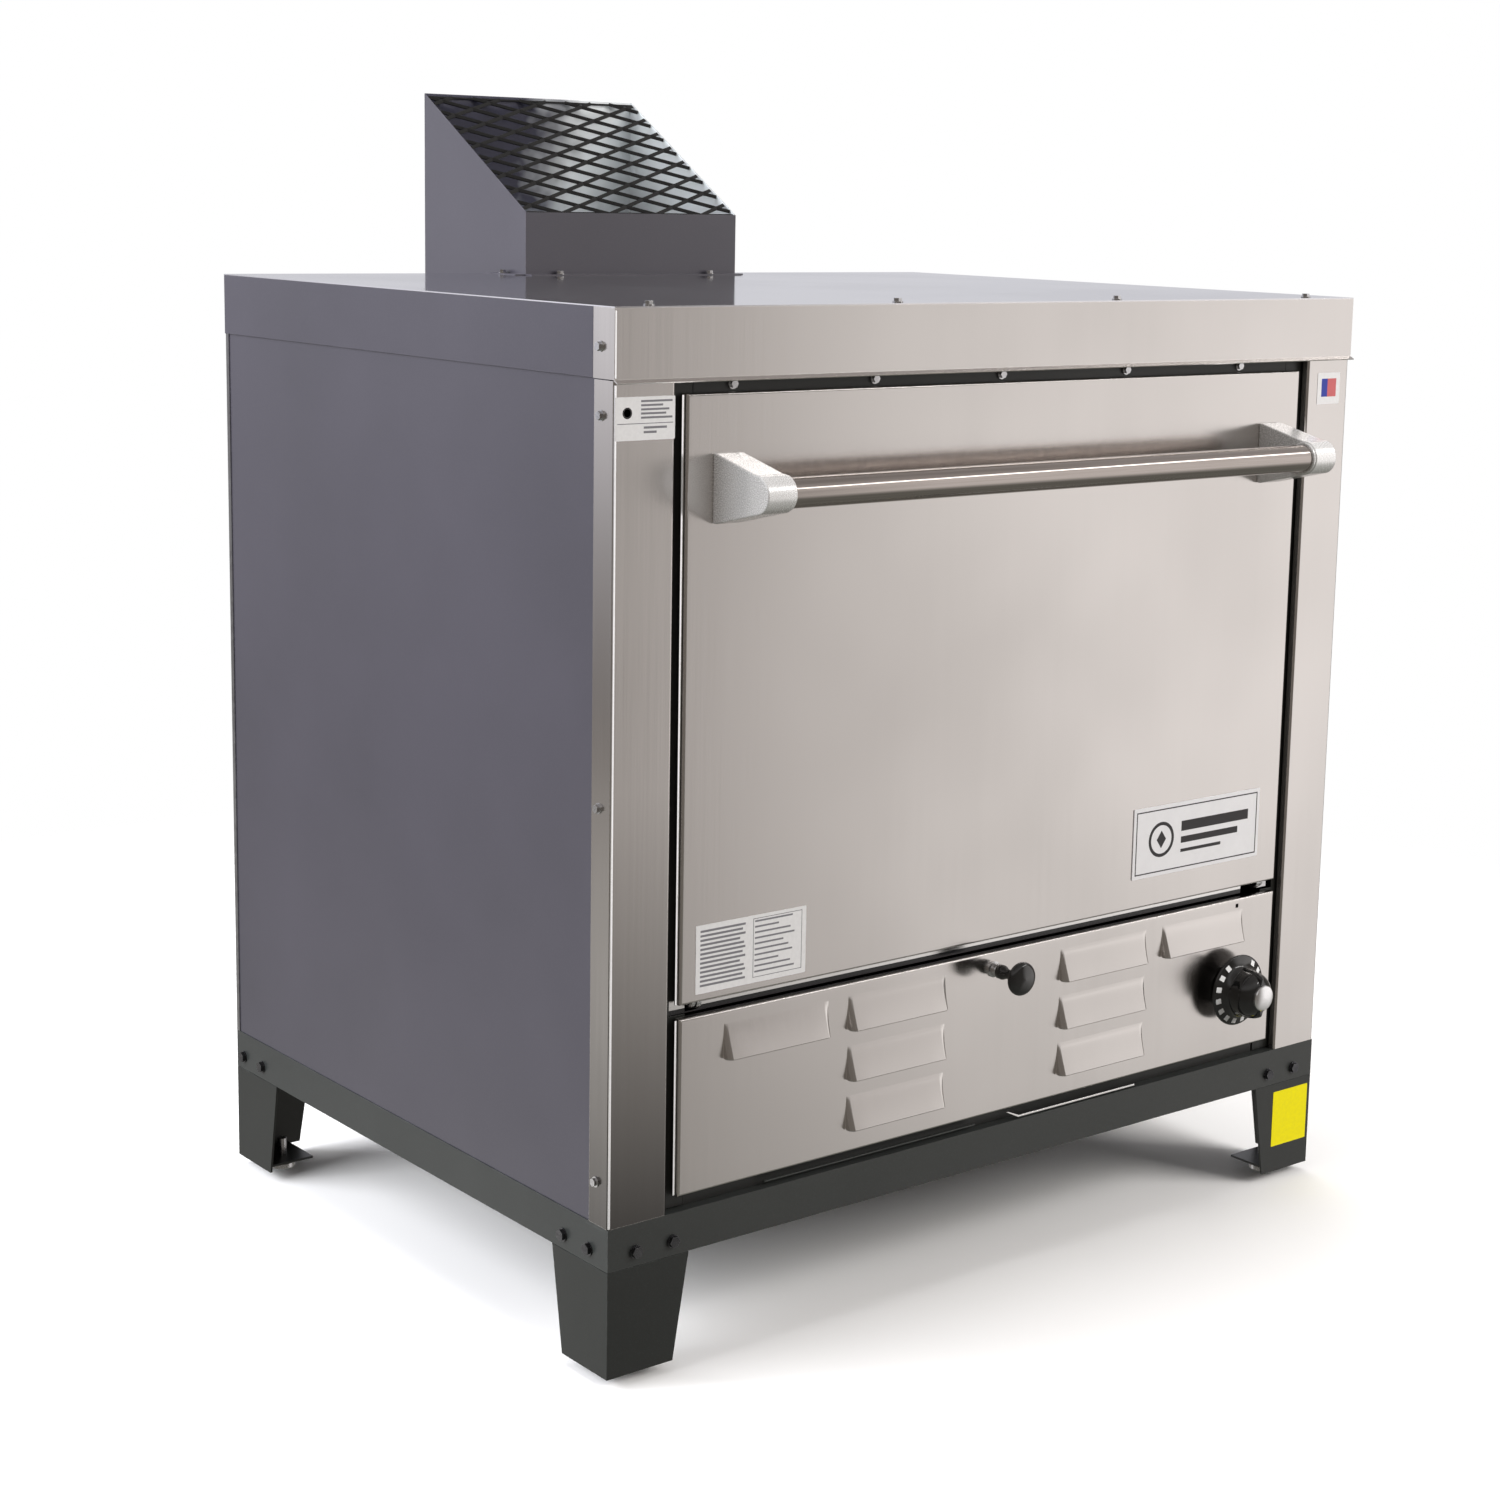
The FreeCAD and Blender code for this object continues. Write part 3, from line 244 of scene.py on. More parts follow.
def sill_look():
    """Bright hemmed sheet whose lower part is near-black and matt: painted shade of the gap under
    the door.
    """
    shade_top = 346.5
    look = brushed("sill_painted_shade", BRIGHT, BRIGHT_DARK, **HEMMED)
    # painted shade: below this height the sheet turns near-black and loses its metal
    low = look.within("Z", 0.0, shade_top)
    look.set("Base Color", look.mix(low, look.now("Base Color"), (0.010, 0.010, 0.012)))
    look.set("Metallic", look.maths("SUBTRACT", 1.0, low))
    return look


def galvanised():
    """Zinc-coated sheet with its crystal pattern."""
    look = Look("galvanised_sheet", Metallic=1.0)
    grey = look.add("ShaderNodeRGBToBW")
    look.feed(grey.inputs[0], look.cells(125.0, output="Color"))
    soot = look.span(look.noise(5.0, detail=4.0), 0.0, 0.45, 0.45, 0.75)
    zinc = look.mix(look.span(grey.outputs[0], 0.0, 1.0), (0.44, 0.45, 0.46), (0.54, 0.55, 0.56))
    look.set("Base Color", look.mix(soot, zinc, (0.19, 0.17, 0.15)))
    look.set("Roughness", look.span(grey.outputs[0], 0.34, 0.42, 0.2, 0.8))
    look.bump(look.noise(160.0), 0.12)
    return look


def rough_metal(name, colour, dark, roughness, scale, bump, metallic=1.0, edge=1.4):
    """Cast, rolled or plated metal: mottled colour, grainy surface, brighter edges."""
    look = Look(name, Metallic=metallic)
    mottle = look.noise(scale * 0.06, detail=4.0)
    grain = look.noise(scale, detail=3.0, rough=0.7)
    body = look.mix(look.span(mottle, 0.0, 1.0), dark, colour)
    look.set("Base Color", look.mix(look.edges(0.9), body, lighter(colour, edge)))
    look.set("Roughness", look.span(grain, roughness - 0.06, roughness + 0.08))
    look.bump(grain, bump, 0.0004)
    return look


def polymer(name, colour, roughness, bump):
    """Moulded plastic: slight flow marks, fine scuffs and a clear gloss."""
    look = Look(name, Coat_Weight=0.6, Coat_Roughness=0.06)
    flow = look.noise(26.0, (1, 1, 2.2), 3.0)
    scuffs = look.noise(1.0, (90, 900, 240), 2.0)
    pale = [channel + 0.012 for channel in colour]
    look.set("Base Color", look.mix(look.span(flow, 0.0, 1.0), colour, pale))
    scuffed = look.span(scuffs, 0.0, 0.10, 0.55, 0.75)
    look.set("Roughness", look.maths("ADD", scuffed, roughness))
    look.bump(flow, bump, 0.0003)
    return look


def stone():
    """Pressed mineral hearth deck: pale, speckled, pitted, browned in patches by baking."""
    look = Look("hearth_stone_deck", Roughness=0.9)
    specks = look.cells(420.0)
    baked = look.span(look.noise(7.0, detail=5.0), 0.0, 0.65, 0.45, 0.72)
    pale = look.span(specks, 0.0, 1.0, 0.15, 0.55)
    base = look.mix(pale, (0.30, 0.26, 0.21), (0.58, 0.53, 0.45))
    look.set("Base Color", look.mix(baked, base, (0.23, 0.16, 0.10)))
    look.bump(look.noise(300.0, detail=5.0, rough=0.75), 0.5, 0.0008)
    return look


def wool():
    """Yellow-brown mineral wool with matted fibres."""
    look = Look("mineral_wool_blanket", Roughness=1.0, Sheen_Weight=0.3)
    fibres = look.noise(1.0, (60, 420, 300), 5.0, 0.75)
    matted = look.span(fibres, 0.0, 1.0)
    look.set("Base Color", look.mix(matted, (0.33, 0.25, 0.12), (0.68, 0.58, 0.36)))
    look.bump(fibres, 0.9, 0.003)
    return look


def woven():
    """Flat braided glass-fibre rope."""
    look = Look("braided_seal", Roughness=0.85, Sheen_Weight=0.2)
    weave = look.add("ShaderNodeTexWave", wave_type="BANDS", bands_direction="DIAGONAL")
    weave.inputs["Scale"].default_value = 130.0
    weave.inputs["Distortion"].default_value = 1.5
    look.feed(weave.inputs["Vector"], look.place)
    look.set("Base Color", look.mix(weave.outputs["Fac"], (0.16, 0.15, 0.13), (0.62, 0.60, 0.55)))
    look.bump(weave.outputs["Fac"], 0.8, 0.0008)
    return look


def paper(name, colour, roughness=0.55):
    """Thin printed sticker stock: faint mottling and a slightly uneven surface."""
    look = Look(name, Specular_IOR_Level=0.35)
    fibre = look.noise(260.0, detail=4.0)
    shade = [channel * 0.93 for channel in colour]
    look.set("Base Color", look.mix(look.span(fibre, 0.0, 1.0), shade, colour))
    look.set("Roughness", look.span(fibre, roughness - 0.05, roughness + 0.08))
    look.bump(look.noise(70.0, detail=2.0), 0.10, 0.0004)
    return look


ALONG_X, ALONG_Z = 0, 2
STEEL, STEEL_DARK = (0.745, 0.715, 0.695), (0.715, 0.685, 0.665)
BRIGHT, BRIGHT_DARK = (0.90, 0.89, 0.88), (0.80, 0.79, 0.78)
UPRIGHT = dict(roughness=0.205, grain=ALONG_Z, turned=0.5, bump=0.012)
HEMMED = dict(roughness=0.22, grain=ALONG_X, turned=0.0, bump=0.02)
# each paint has its colour, a darker one for its clouds, and a worn one for its edges
PAINT_COLOURS = ((0.056, 0.053, 0.068), (0.047, 0.045, 0.057), (0.13, 0.12, 0.14))
BASE_COLOURS = ((0.032, 0.035, 0.034), (0.025, 0.028, 0.027), (0.11, 0.12, 0.115))
LEG_COLOURS = ((0.014, 0.016, 0.015), (0.010, 0.012, 0.011), (0.07, 0.08, 0.075))
FRAME_COLOURS = ((0.012, 0.013, 0.012), (0.008, 0.009, 0.008), (0.05, 0.05, 0.048))
MESH_COLOURS = ((0.004, 0.004, 0.004), (0.003, 0.003, 0.003), (0.02, 0.02, 0.02))

# the looks of the record's material slots
LOOKS = {
    "stainless": brushed("stainless_vertical", STEEL, STEEL_DARK, **UPRIGHT),
    "dark_paint": painted("satin_paint", *PAINT_COLOURS, roughness=0.38, grit=900.0, bump=0.16),
    "base_black": painted("base_powder_coat", *BASE_COLOURS, roughness=0.42, grit=1100.0,
                          bump=0.32),
    "frame_black": painted("frame_powder_coat", *FRAME_COLOURS, roughness=0.45, grit=1000.0,
                           bump=0.28),
    "galvanised": galvanised(),
    "cast_aluminium": rough_metal("satin_casting", (0.93, 0.93, 0.93), (0.89, 0.89, 0.89),
                                  roughness=0.25, scale=900.0, bump=0.05, metallic=0.60,
                                  edge=1.05),
    "fastener_steel": rough_metal("zinc_fastener", (0.74, 0.74, 0.75), (0.55, 0.55, 0.57),
                                  roughness=0.24, scale=500.0, bump=0.10),
    "black_knob": polymer("gloss_black", (0.006, 0.006, 0.006), roughness=0.08, bump=0.05),
    "hearth_stone": stone(),
    "mineral_wool": wool(),
    "seal_rope": woven(),
    "burner_iron": rough_metal("cast_iron", (0.10, 0.095, 0.09), (0.05, 0.047, 0.045),
                               roughness=0.62, scale=600.0, bump=0.5),
    "valve_brass": rough_metal("yellow_brass", (0.70, 0.50, 0.22), (0.52, 0.36, 0.15),
                               roughness=0.30, scale=500.0, bump=0.15),
    "black_pipe": rough_metal("mill_scale_pipe", (0.06, 0.06, 0.062), (0.03, 0.03, 0.03),
                              roughness=0.5, scale=400.0, bump=0.3),
    "paper_label": paper("label_stock", (0.82, 0.82, 0.83)),
    "plate_aluminium": rough_metal("plate_silver", (0.86, 0.86, 0.88), (0.82, 0.82, 0.84),
                                   roughness=0.33, scale=1200.0, bump=0.03, metallic=0.25,
                                   edge=1.1),
}

# looks of single pieces and nodes
TOP_LOOK = brushed("stainless_top", (0.70, 0.695, 0.715), (0.64, 0.635, 0.655),
                   roughness=0.085, grain=ALONG_X, turned=0.3, bump=0.02)
# the tube's colour is a darker, browner copy of the stainless: painted shade around its bright
# line
TUBE_LOOK = brushed("stainless_tube", (0.48, 0.435, 0.41), (0.40, 0.36, 0.335),
                    roughness=0.13, grain=ALONG_X, turned=0.0, bump=0.03)
LIP_LOOK = brushed("stainless_sill", BRIGHT, BRIGHT_DARK, **HEMMED)
# the near column gets painted shade, its colour falling towards its foot
NEAR_COLUMN_LOOK = brushed("stainless_column", STEEL, STEEL_DARK, **UPRIGHT,
                           painted_shade=(100.0, 560.0, 0.12))
SILL_LOOK = sill_look()
LEG_LOOK = painted("leg_powder_coat", *LEG_COLOURS, roughness=0.40, grit=1100.0, bump=0.30)
BOLT_LOOK = rough_metal("blackened_bolt", (0.16, 0.16, 0.17), (0.05, 0.05, 0.055),
                        roughness=0.26, scale=500.0, bump=0.12)
POLISHED_LOOK = rough_metal("polished_insert", (0.93, 0.93, 0.94), (0.86, 0.86, 0.87),
                            roughness=0.16, scale=700.0, bump=0.02)
HOOD_LOOK = hood_look()
MESH_LOOK = painted("mesh_black", *MESH_COLOURS, roughness=0.50, grit=700.0, bump=0.2, wear=0.3)
MESH_LOOK.set("Coat Weight", 0.0)
INK_LOOK = paper("ink_grey", (0.22, 0.22, 0.24))
DARK_INK_LOOK = paper("ink_dark", (0.035, 0.033, 0.035), roughness=0.40)
BLUE_LOOK = paper("ink_blue", (0.05, 0.07, 0.36))
RED_LOOK = paper("ink_red", (0.62, 0.16, 0.17))
YELLOW_LOOK = paper("tag_yellow", (1.0, 0.88, 0.004))
TICK_LOOK = paper("tick_white", (0.86, 0.87, 0.88), roughness=0.35)


# ---- mesh helpers ----------------------------------------------------
def piece(name, mesh, body, look, replaces=(), bevel=0.0, round_from=35.0):
    """Makes a mesh a named piece on a body: welded, faces outward, smooth, with real bevels."""
    mesh.normal_update()
    bmesh.ops.remove_doubles(mesh, verts=mesh.verts, dist=0.01 * MM)
    bmesh.ops.recalc_face_normals(mesh, faces=mesh.faces)
    data = bpy.data.meshes.new(name)
    mesh.to_mesh(data)
    mesh.free()
    obj = bpy.data.objects.new(name, data)
    bpy.context.scene.collection.objects.link(obj)
    data.materials.append(look.material)
    for polygon in data.polygons:
        polygon.use_smooth = True
    data.set_sharp_from_angle(angle=math.radians(round_from))
    if bevel:
        soften(obj, bevel)
    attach(obj, body)
    for node in replaces:
        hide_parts(node)
    return obj


def thicken(obj):
    """Gives an open sheet its thickness behind its front, and small bevels."""
    thick = obj.modifiers.new("sheet", "SOLIDIFY")
    thick.thickness = SHEET * MM
    thick.offset = -1.0
    soften(obj, 0.35)


def soften(obj, width_mm, segments=2):
    bevel = obj.modifiers.new("edge", "BEVEL")
    bevel.width = width_mm * MM
    bevel.segments = segments
    bevel.limit_method = "ANGLE"
    bevel.angle_limit = math.radians(40)
    shade = obj.modifiers.new("shade", "WEIGHTED_NORMAL")
    shade.weight = 60


def loft(mesh, rings, caps=True):
    """Skins closed, equal-length rings of points in order, with end caps if asked."""
    made = [[mesh.verts.new(point) for point in ring] for ring in rings]
    count = len(made[0])
    for low, high in zip(made, made[1:]):
        for i in range(count):
            j = (i + 1) % count
            mesh.faces.new((low[i], low[j], high[j], high[i]))
    if caps:
        mesh.faces.new(made[0][::-1])
        mesh.faces.new(made[-1])


def block(mesh, x0, x1, v0, v1, z0, z1):
    low = [at(x0, v0, z0), at(x1, v0, z0), at(x1, v1, z0), at(x0, v1, z0)]
    loft(mesh, [low, [point + Vector((0, 0, (z1 - z0) * MM)) for point in low]])


def turned(mesh, profile, centre, axis="v", steps=64):
    """Revolves (radius, along) points about a line through the centre, along v or x.

    A point on the axis becomes a tiny ring, so that all rings have the same length.
    """
    x, v, z = centre
    least_r = 0.02
    rings = []
    for radius, along in profile:
        ring = []
        for step in range(steps):
            angle = 2 * math.pi * step / steps
            a, b = (max(radius, least_r) * turn(angle) for turn in (math.cos, math.sin))
            on_v, on_x = at(x + a, v + along, z + b), at(x + along, v + a, z + b)
            ring.append(on_v if axis == "v" else on_x)
        rings.append(ring)
    loft(mesh, rings)


def arc(centre, radius, start, end, steps):
    """Points on an arc, in degrees, as (first, second) pairs."""
    angles = [math.radians(start + (end - start) * i / steps) for i in range(steps + 1)]
    return [(centre[0] + radius * math.cos(a), centre[1] + radius * math.sin(a)) for a in angles]


# ---- burner panel, door skin and columns: sheets with bent rims ------
BEND, BEND_STEPS, FLANGE = 2.6, 6, 8.0
PANEL_BOTTOM = 169.0
LOUVRE_W, LOUVRE_H, LOUVRE_OUT = 125.0, 33.0, 9.5
LOUVRE_ROWS, LOUVRE_PITCH, LOUVRE_TOP_Z = 3, 50.5, 294.0
LOUVRE_INNER_X, LOUVRE_OUTER_X = 141.5, 291.5
SPY_HOLE = (343.0, 347.5, 330.0, 334.5)


def louvre_places():
    places = []
    for side, _ in SIDES:
        for row in range(LOUVRE_ROWS):
            places.append((side * LOUVRE_INNER_X, LOUVRE_TOP_Z - row * LOUVRE_PITCH))
        places.append((side * LOUVRE_OUTER_X, LOUVRE_TOP_Z))
    return places


def louvre_reach(share):
    """How far a louvre stands out, as a share of its depth, from its top (0) to its lip (1)."""
    return share ** 1.3


def burner_panel():
    """Stamped sheet: openings cut in a grid, one flap hung from each opening's top edge."""
    x0, x1 = PANEL_LOW.x / MM + BEND, PANEL_HIGH.x / MM - BEND
    z0, z1 = PANEL_BOTTOM + BEND, PANEL_HIGH.z / MM - BEND
    half = LOUVRE_W / 2
    openings = [(x - half, x + half, z, z + LOUVRE_H) for x, z in louvre_places()]
    holes = openings + [SPY_HOLE]
    xs = sorted({x0, x1} | {edge for hole in holes for edge in hole[:2]})
    zs = sorted({z0, z1} | {edge for hole in holes for edge in hole[2:]})
    mesh = bmesh.new()
    verts = {(x, z): mesh.verts.new(at(x, 0, z)) for x in xs for z in zs}
    for xa, xb in zip(xs, xs[1:]):
        for za, zb in zip(zs, zs[1:]):
            x, z = (xa + xb) / 2, (za + zb) / 2
            if not any(h[0] < x < h[1] and h[2] < z < h[3] for h in holes):
                mesh.faces.new([verts[key] for key in ((xa, za), (xb, za), (xb, zb), (xa, zb))])
    bottom = [(verts[x, z0], 0, -1) for x in xs[1:-1]]
    right = [(verts[x1, z], 1, 0) for z in zs[1:-1]]
    top = [(verts[x, z1], 0, 1) for x in reversed(xs[1:-1])]
    left = [(verts[x0, z], -1, 0) for z in reversed(zs[1:-1])]
    bend_round(mesh, [(verts[x0, z0], -1, -1)] + bottom + [(verts[x1, z0], 1, -1)] + right
               + [(verts[x1, z1], 1, 1)] + top + [(verts[x0, z1], -1, 1)] + left)
    for xa, xb, za, zb in openings:
        flap(mesh, xa, xb, za, zb)
    panel = piece("burner_panel", mesh, "cabinet", LOOKS["stainless"],
                  ["control_panel"])
    face_front(panel)
    thicken(panel)


def bend_round(mesh, rim):
    """Bends a flat sheet's rim back in a small radius and carries it on as a flange.

    rim is the sheet's corners and edge points in order, each with its outward way in x and z.
    """
    quarter = [math.pi / 2 * i / BEND_STEPS for i in range(1, BEND_STEPS + 1)]
    shifts = [(BEND * math.sin(a), BEND * (1 - math.cos(a))) for a in quarter] + [(BEND, FLANGE)]
    rows = [[vert for vert, _, _ in rim]]
    for out, back in shifts:
        moves = [Vector((dx * out * MM, back * MM, dz * out * MM)) for _, dx, dz in rim]
        rows.append([mesh.verts.new(vert.co + move) for (vert, _, _), move in zip(rim, moves)])
    for front, behind in zip(rows, rows[1:]):
        for i in range(len(rim)):
            j = (i + 1) % len(rim)
            mesh.faces.new((front[i], front[j], behind[j], behind[i]))


def flap(mesh, xa, xb, za, zb):
    """Louvre: swells out from its top edge to its lip, and closes to the sheet at both ends."""
    steps, end, inner_steps = 16, 5.5, 6
    near = [0.0, 0.10, 0.35, 0.8, 1.4, 2.2, 3.2, 4.3, end]
    middle = [end + (xb - xa - 2 * end) * i / inner_steps for i in range(1, inner_steps)]
    ways = near + middle + [xb - xa - u for u in reversed(near)]
    rows = []
    for step in range(steps + 1):
        share = step / steps
        out = LOUVRE_OUT * louvre_reach(share)
        row = []
        for u in ways:
            short = 1.0 - min(u, xb - xa - u, end) / end
            swell = math.sqrt(max(0.0, 1.0 - short ** 2))
            row.append(mesh.verts.new(at(xa + u, -out * swell, zb - (zb - za) * share)))
        rows.append(row)
    # the lip turns down and back, and less so where it stands out little
    turn, full_out = 1.0, 4.0
    hem = Vector((0, turn * MM, -turn * MM))
    edge = []
    for vert in rows[-1]:
        out = FRONT_Y - vert.co.y / MM
        edge.append(mesh.verts.new(vert.co + hem * min(1.0, out / full_out)))
    rows.append(edge)
    for high, low in zip(rows, rows[1:]):
        for i in range(len(ways) - 1):
            mesh.faces.new((high[i], low[i], low[i + 1], high[i + 1]))


def door_pan():
    """Door skin: one sheet bent back on all four sides."""
    x0, x1 = DOOR_LOW.x / MM + BEND, DOOR_HIGH.x / MM - BEND
    z0, z1 = DOOR_LOW.z / MM + BEND, DOOR_HIGH.z / MM - BEND
    mesh = bmesh.new()
    corners = [(x0, z0, -1, -1), (x1, z0, 1, -1), (x1, z1, 1, 1), (x0, z1, -1, 1)]
    rim = [(mesh.verts.new(at(x, 0, z)), dx, dz) for x, z, dx, dz in corners]
    mesh.faces.new([vert for vert, _, _ in rim])
    bend_round(mesh, rim)
    pan = piece("door_pan", mesh, "door", LOOKS["stainless"], ["door_skin"])
    face_front(pan)
    thicken(pan)


def column_sheet(side, word):
    """Corner column: front face with a side return and a short inner flange, in one sheet."""
    node = "column_" + word
    low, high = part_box(node)
    width, back = (high.x - low.x) / MM, (high.y - low.y) / MM
    outer, inner = [], []
    for radius, ends, target in ((BEND, 0.0, outer), (BEND - SHEET, SHEET, inner)):
        target.append((ends, back))
        target += arc((BEND, BEND), radius, 180, 270, BEND_STEPS)
        target += arc((width - BEND, BEND), radius, 270, 360, BEND_STEPS)
        target.append((width - ends, FLANGE))
    section = outer + inner[::-1]
    mesh = bmesh.new()
    loft(mesh, [[at(side * (HALF_W - u), v, z / MM) for u, v in section]
                for z in (low.z, high.z)])
    # only the near column carries the painted shade towards its foot
    look = NEAR_COLUMN_LOOK if side < 0 else LOOKS["stainless"]
    piece("corner_" + word, mesh, "cabinet", look, [node], bevel=0.2)


def bright_edges():
    """Polished edge strips: beside the door and the burner panel, and down the near corner."""
    lean, thick = math.tan(math.radians(7.5)), 1.2
    gap_x0, gap_x1, gap_v = -408.4, -405.3, 2.6
    corner_x0, corner_x1 = 0.3, 2.5
    strips = [
        ("door_edge_strip", "door", gap_x0, gap_x1, gap_v,
         DOOR_LOW.z / MM + 1.0, DOOR_HIGH.z / MM - 1.0),
        ("panel_edge_strip", "cabinet", gap_x0, gap_x1, gap_v,
         PANEL_BOTTOM + 2.0, PANEL_HIGH.z / MM - 1.0),
        ("corner_strip", "cabinet", -HALF_W + corner_x0, -HALF_W + corner_x1, -0.25,
         COLUMN_LOW.z / MM + 1.0, CAP_LOW.z / MM - 1.0),
        ("cap_corner_strip", "cabinet", CAP_LOW.x / MM + corner_x0, CAP_LOW.x / MM + corner_x1,
         -1.75, CAP_LOW.z / MM + 5.0, CAP_HIGH.z / MM - 2.0)]
    for name, body, xa, xb, v, za, zb in strips:
        section = [(xa, v), (xb, v + (xb - xa) * lean), (xb, v + thick), (xa, v + thick)]
        mesh = bmesh.new()
        loft(mesh, [[at(x, depth, z) for x, depth in section] for z in (za, zb)])
        piece(name, mesh, body, POLISHED_LOOK, bevel=0.15)


def pan_hem():
    """Folded edge of the bottom pan, seen in the slot under the burner panel."""
    mesh = bmesh.new()
    block(mesh, x0=-300.0, x1=-30.0, v0=3.0, v1=5.5, z0=159.5, z1=161.0)
    piece("pan_hem", mesh, "cabinet", LOOKS["base_black"], bevel=0.4)


def face_front(obj):
    """Turns an open sheet's faces so that its flat front looks towards -Y."""
    front = max(obj.data.polygons, key=lambda polygon: polygon.area)
    if front.normal.y > 0:
        obj.data.flip_normals()


def finger_lip():
    """Hemmed pull under the panel: a thin bright bar on a tab, slanting down at its left end."""
    x0, x1, slant, bar = 9.5, 196.0, 17.0, 2.0
    z_top, z_low = 166.0, 157.5
    v_front, v_back = -0.4, SHEET
    outer = [(x0, z_top), (x0 + slant, z_low), (x1, z_low)]
    inner = [(x0 + 3, z_top), (x0 + slant + 1, z_low + bar), (x1, z_low + bar)]
    mesh = bmesh.new()
    for i in range(2):
        quad = [outer[i], outer[i + 1], inner[i + 1], inner[i]]
        loft(mesh, [[at(x, v, z) for x, z in quad] for v in (v_front, v_back)])
    piece("finger_lip", mesh, "cabinet", LIP_LOOK, bevel=0.3)


# ---- knob and damper -------------------------------------------------
# Profiles are (radius, distance behind the centre they are turned about).
KNOB_X, KNOB_Z = 334.5, 243.0
SKIRT_R, SKIRT_FACE_V, SKIRT_SLOPE = 37.6, -17.7, 0.33
DAMPER_X, DAMPER_Z, DAMPER_V = -14.5, 322.0, -38.0


def thermostat_knob():
    """Glossy dial: thin rounded skirt, waisted body, domed end, and a pointer across it."""
    rim_r, dome_r, dome_v, dome_out, dome_steps = 1.6, 24.6, -37.0, 17.5, 14
    quarter = [math.pi / 2 * i / dome_steps for i in range(1, dome_steps + 1)]
    neck = [(0.0, -3.0), (21.0, -3.0), (21.5, -13.0), (36.0, -14.6)]
    rim = arc((SKIRT_R, -16.3), rim_r, 80, -80, 8)
    body = [(33.0, -19.2), (28.5, -21.4), (25.8, -24.5), (24.8, -29.0), (24.8, -35.0)]
    dome = [(dome_r * math.cos(a), dome_v - dome_out * math.sin(a)) for a in quarter]
    mesh = bmesh.new()
    turned(mesh, neck + rim + body + dome, (KNOB_X, 0, KNOB_Z), steps=96)
    piece("thermostat_dial", mesh, "thermostat", LOOKS["black_knob"],
          ["thermostat_knob"], round_from=50)
    pointer()
    dial_marks()
    mesh = bmesh.new()
    cap = [(0.0, -51.0), (13.6, -51.0), (14.0, -54.2), (13.2, -55.4), (9.0, -56.2), (0.0, -56.7)]
    turned(mesh, cap, (KNOB_X, 0, KNOB_Z), steps=72)
    piece("dial_insert", mesh, "thermostat", POLISHED_LOOK, round_from=40)


def pointer():
    """Grip standing on the dome, tapered to both ends and to its top."""
    length, half_t, v_low, v_top = 27.5, 6.5, -24.0, -52.0
    thinner, shorter, squareness = 0.45, 0.22, 0.75
    levels, steps = 6, 32
    mesh = bmesh.new()
    rings = []
    for level in range(levels + 1):
        rise = level / levels
        reach = length * (1.0 - shorter * rise ** 3)
        thick = half_t * (1.0 - thinner * rise ** 2)
        ring = []
        for step in range(steps):
            angle = 2 * math.pi * step / steps
            w, u = (size * math.copysign(abs(way) ** squareness, way)
                    for size, way in ((thick, math.sin(angle)), (reach, math.cos(angle))))
            ring.append(at(KNOB_X + w, v_low + (v_top - v_low) * rise, KNOB_Z + u))
        rings.append(ring)
    loft(mesh, rings)
    piece("dial_pointer", mesh, "thermostat", LOOKS["black_knob"], bevel=1.2)


def dial_marks():
    """Plain raised marks round the skirt."""
    count, sweep = 14, 290.0
    r0, r1, half, height = 30.6, 36.4, 2.9, 0.35
    centre = at(KNOB_X, 0, KNOB_Z)
    mesh = bmesh.new()
    for mark in range(count):
        angle = math.radians(-90 - sweep / 2 + sweep * mark / (count - 1))
        outward = Vector((math.cos(angle), 0, math.sin(angle)))
        across = Vector((-outward.z, 0, outward.x))
        rings = []
        for lift in (0.0, height):
            ring = []
            for r, w in ((r0, -half), (r1, -half), (r1, half), (r0, half)):
                v = SKIRT_FACE_V - (SKIRT_R - r) * SKIRT_SLOPE - lift
                ring.append(centre + (outward * r + across * w) * MM + Vector((0, v * MM, 0)))
            rings.append(ring)
        loft(mesh, rings)
    piece("dial_marks", mesh, "thermostat", TICK_LOOK)


def damper_pull():
    """Mushroom pull on a thin neck; the bright collar it slides through stays on the panel."""
    head_r, head_v, rim_r, rim_depth, rim_steps = 10.6, -3.4, 6.6, 5.6, 14
    turns = [math.radians(-78 + 156 * i / rim_steps) for i in range(rim_steps + 1)]
    foot = [(0.0, 29.2), (6.6, 29.2), (7.4, 28.2), (7.4, 23.0), (6.6, 20.5)]
    neck = [(5.0, 17.0), (4.9, 10.5), (6.2, 6.0), (9.5, 3.0)]
    rim = [(head_r + rim_r * math.cos(a), head_v - rim_depth * math.sin(a)) for a in turns]
    end = [(6.0, -9.6), (0.0, -10.2)]
    mesh = bmesh.new()
    turned(mesh, foot + neck + rim + end, (DAMPER_X, DAMPER_V, DAMPER_Z))
    piece("damper_knob", mesh, "damper", LOOKS["black_knob"], ["damper_ball"],
          round_from=50)
    mesh = bmesh.new()
    collar = [(4.4, 0.2), (8.2, 0.2), (8.2, -1.6), (6.6, -2.2), (6.3, -7.0), (5.6, -8.0),
              (4.4, -8.0)]
    turned(mesh, collar, (DAMPER_X, 0, DAMPER_Z), steps=48)
    piece("damper_collar", mesh, "cabinet", LOOKS["fastener_steel"],
          round_from=40)


# ---- handle ----------------------------------------------------------
HANDLE_V, HANDLE_Z, NOSE_R = -63.5, 828.0, 17.5
BRACKET_IN, BRACKET_OUT = 343.5, 375.5


def bracket_outline():
    """(v, z) outline: flat foot on the door, straight top and bottom, a round nose."""
    foot_low, foot_high, foot_v = 796.0, 859.0, -4.0
    nose = arc((HANDLE_V, HANDLE_Z), NOSE_R, 84, 262, 20)
    return [(0.0, foot_low), (0.0, foot_high), (foot_v, foot_high)] + nose + [(foot_v, foot_low)]


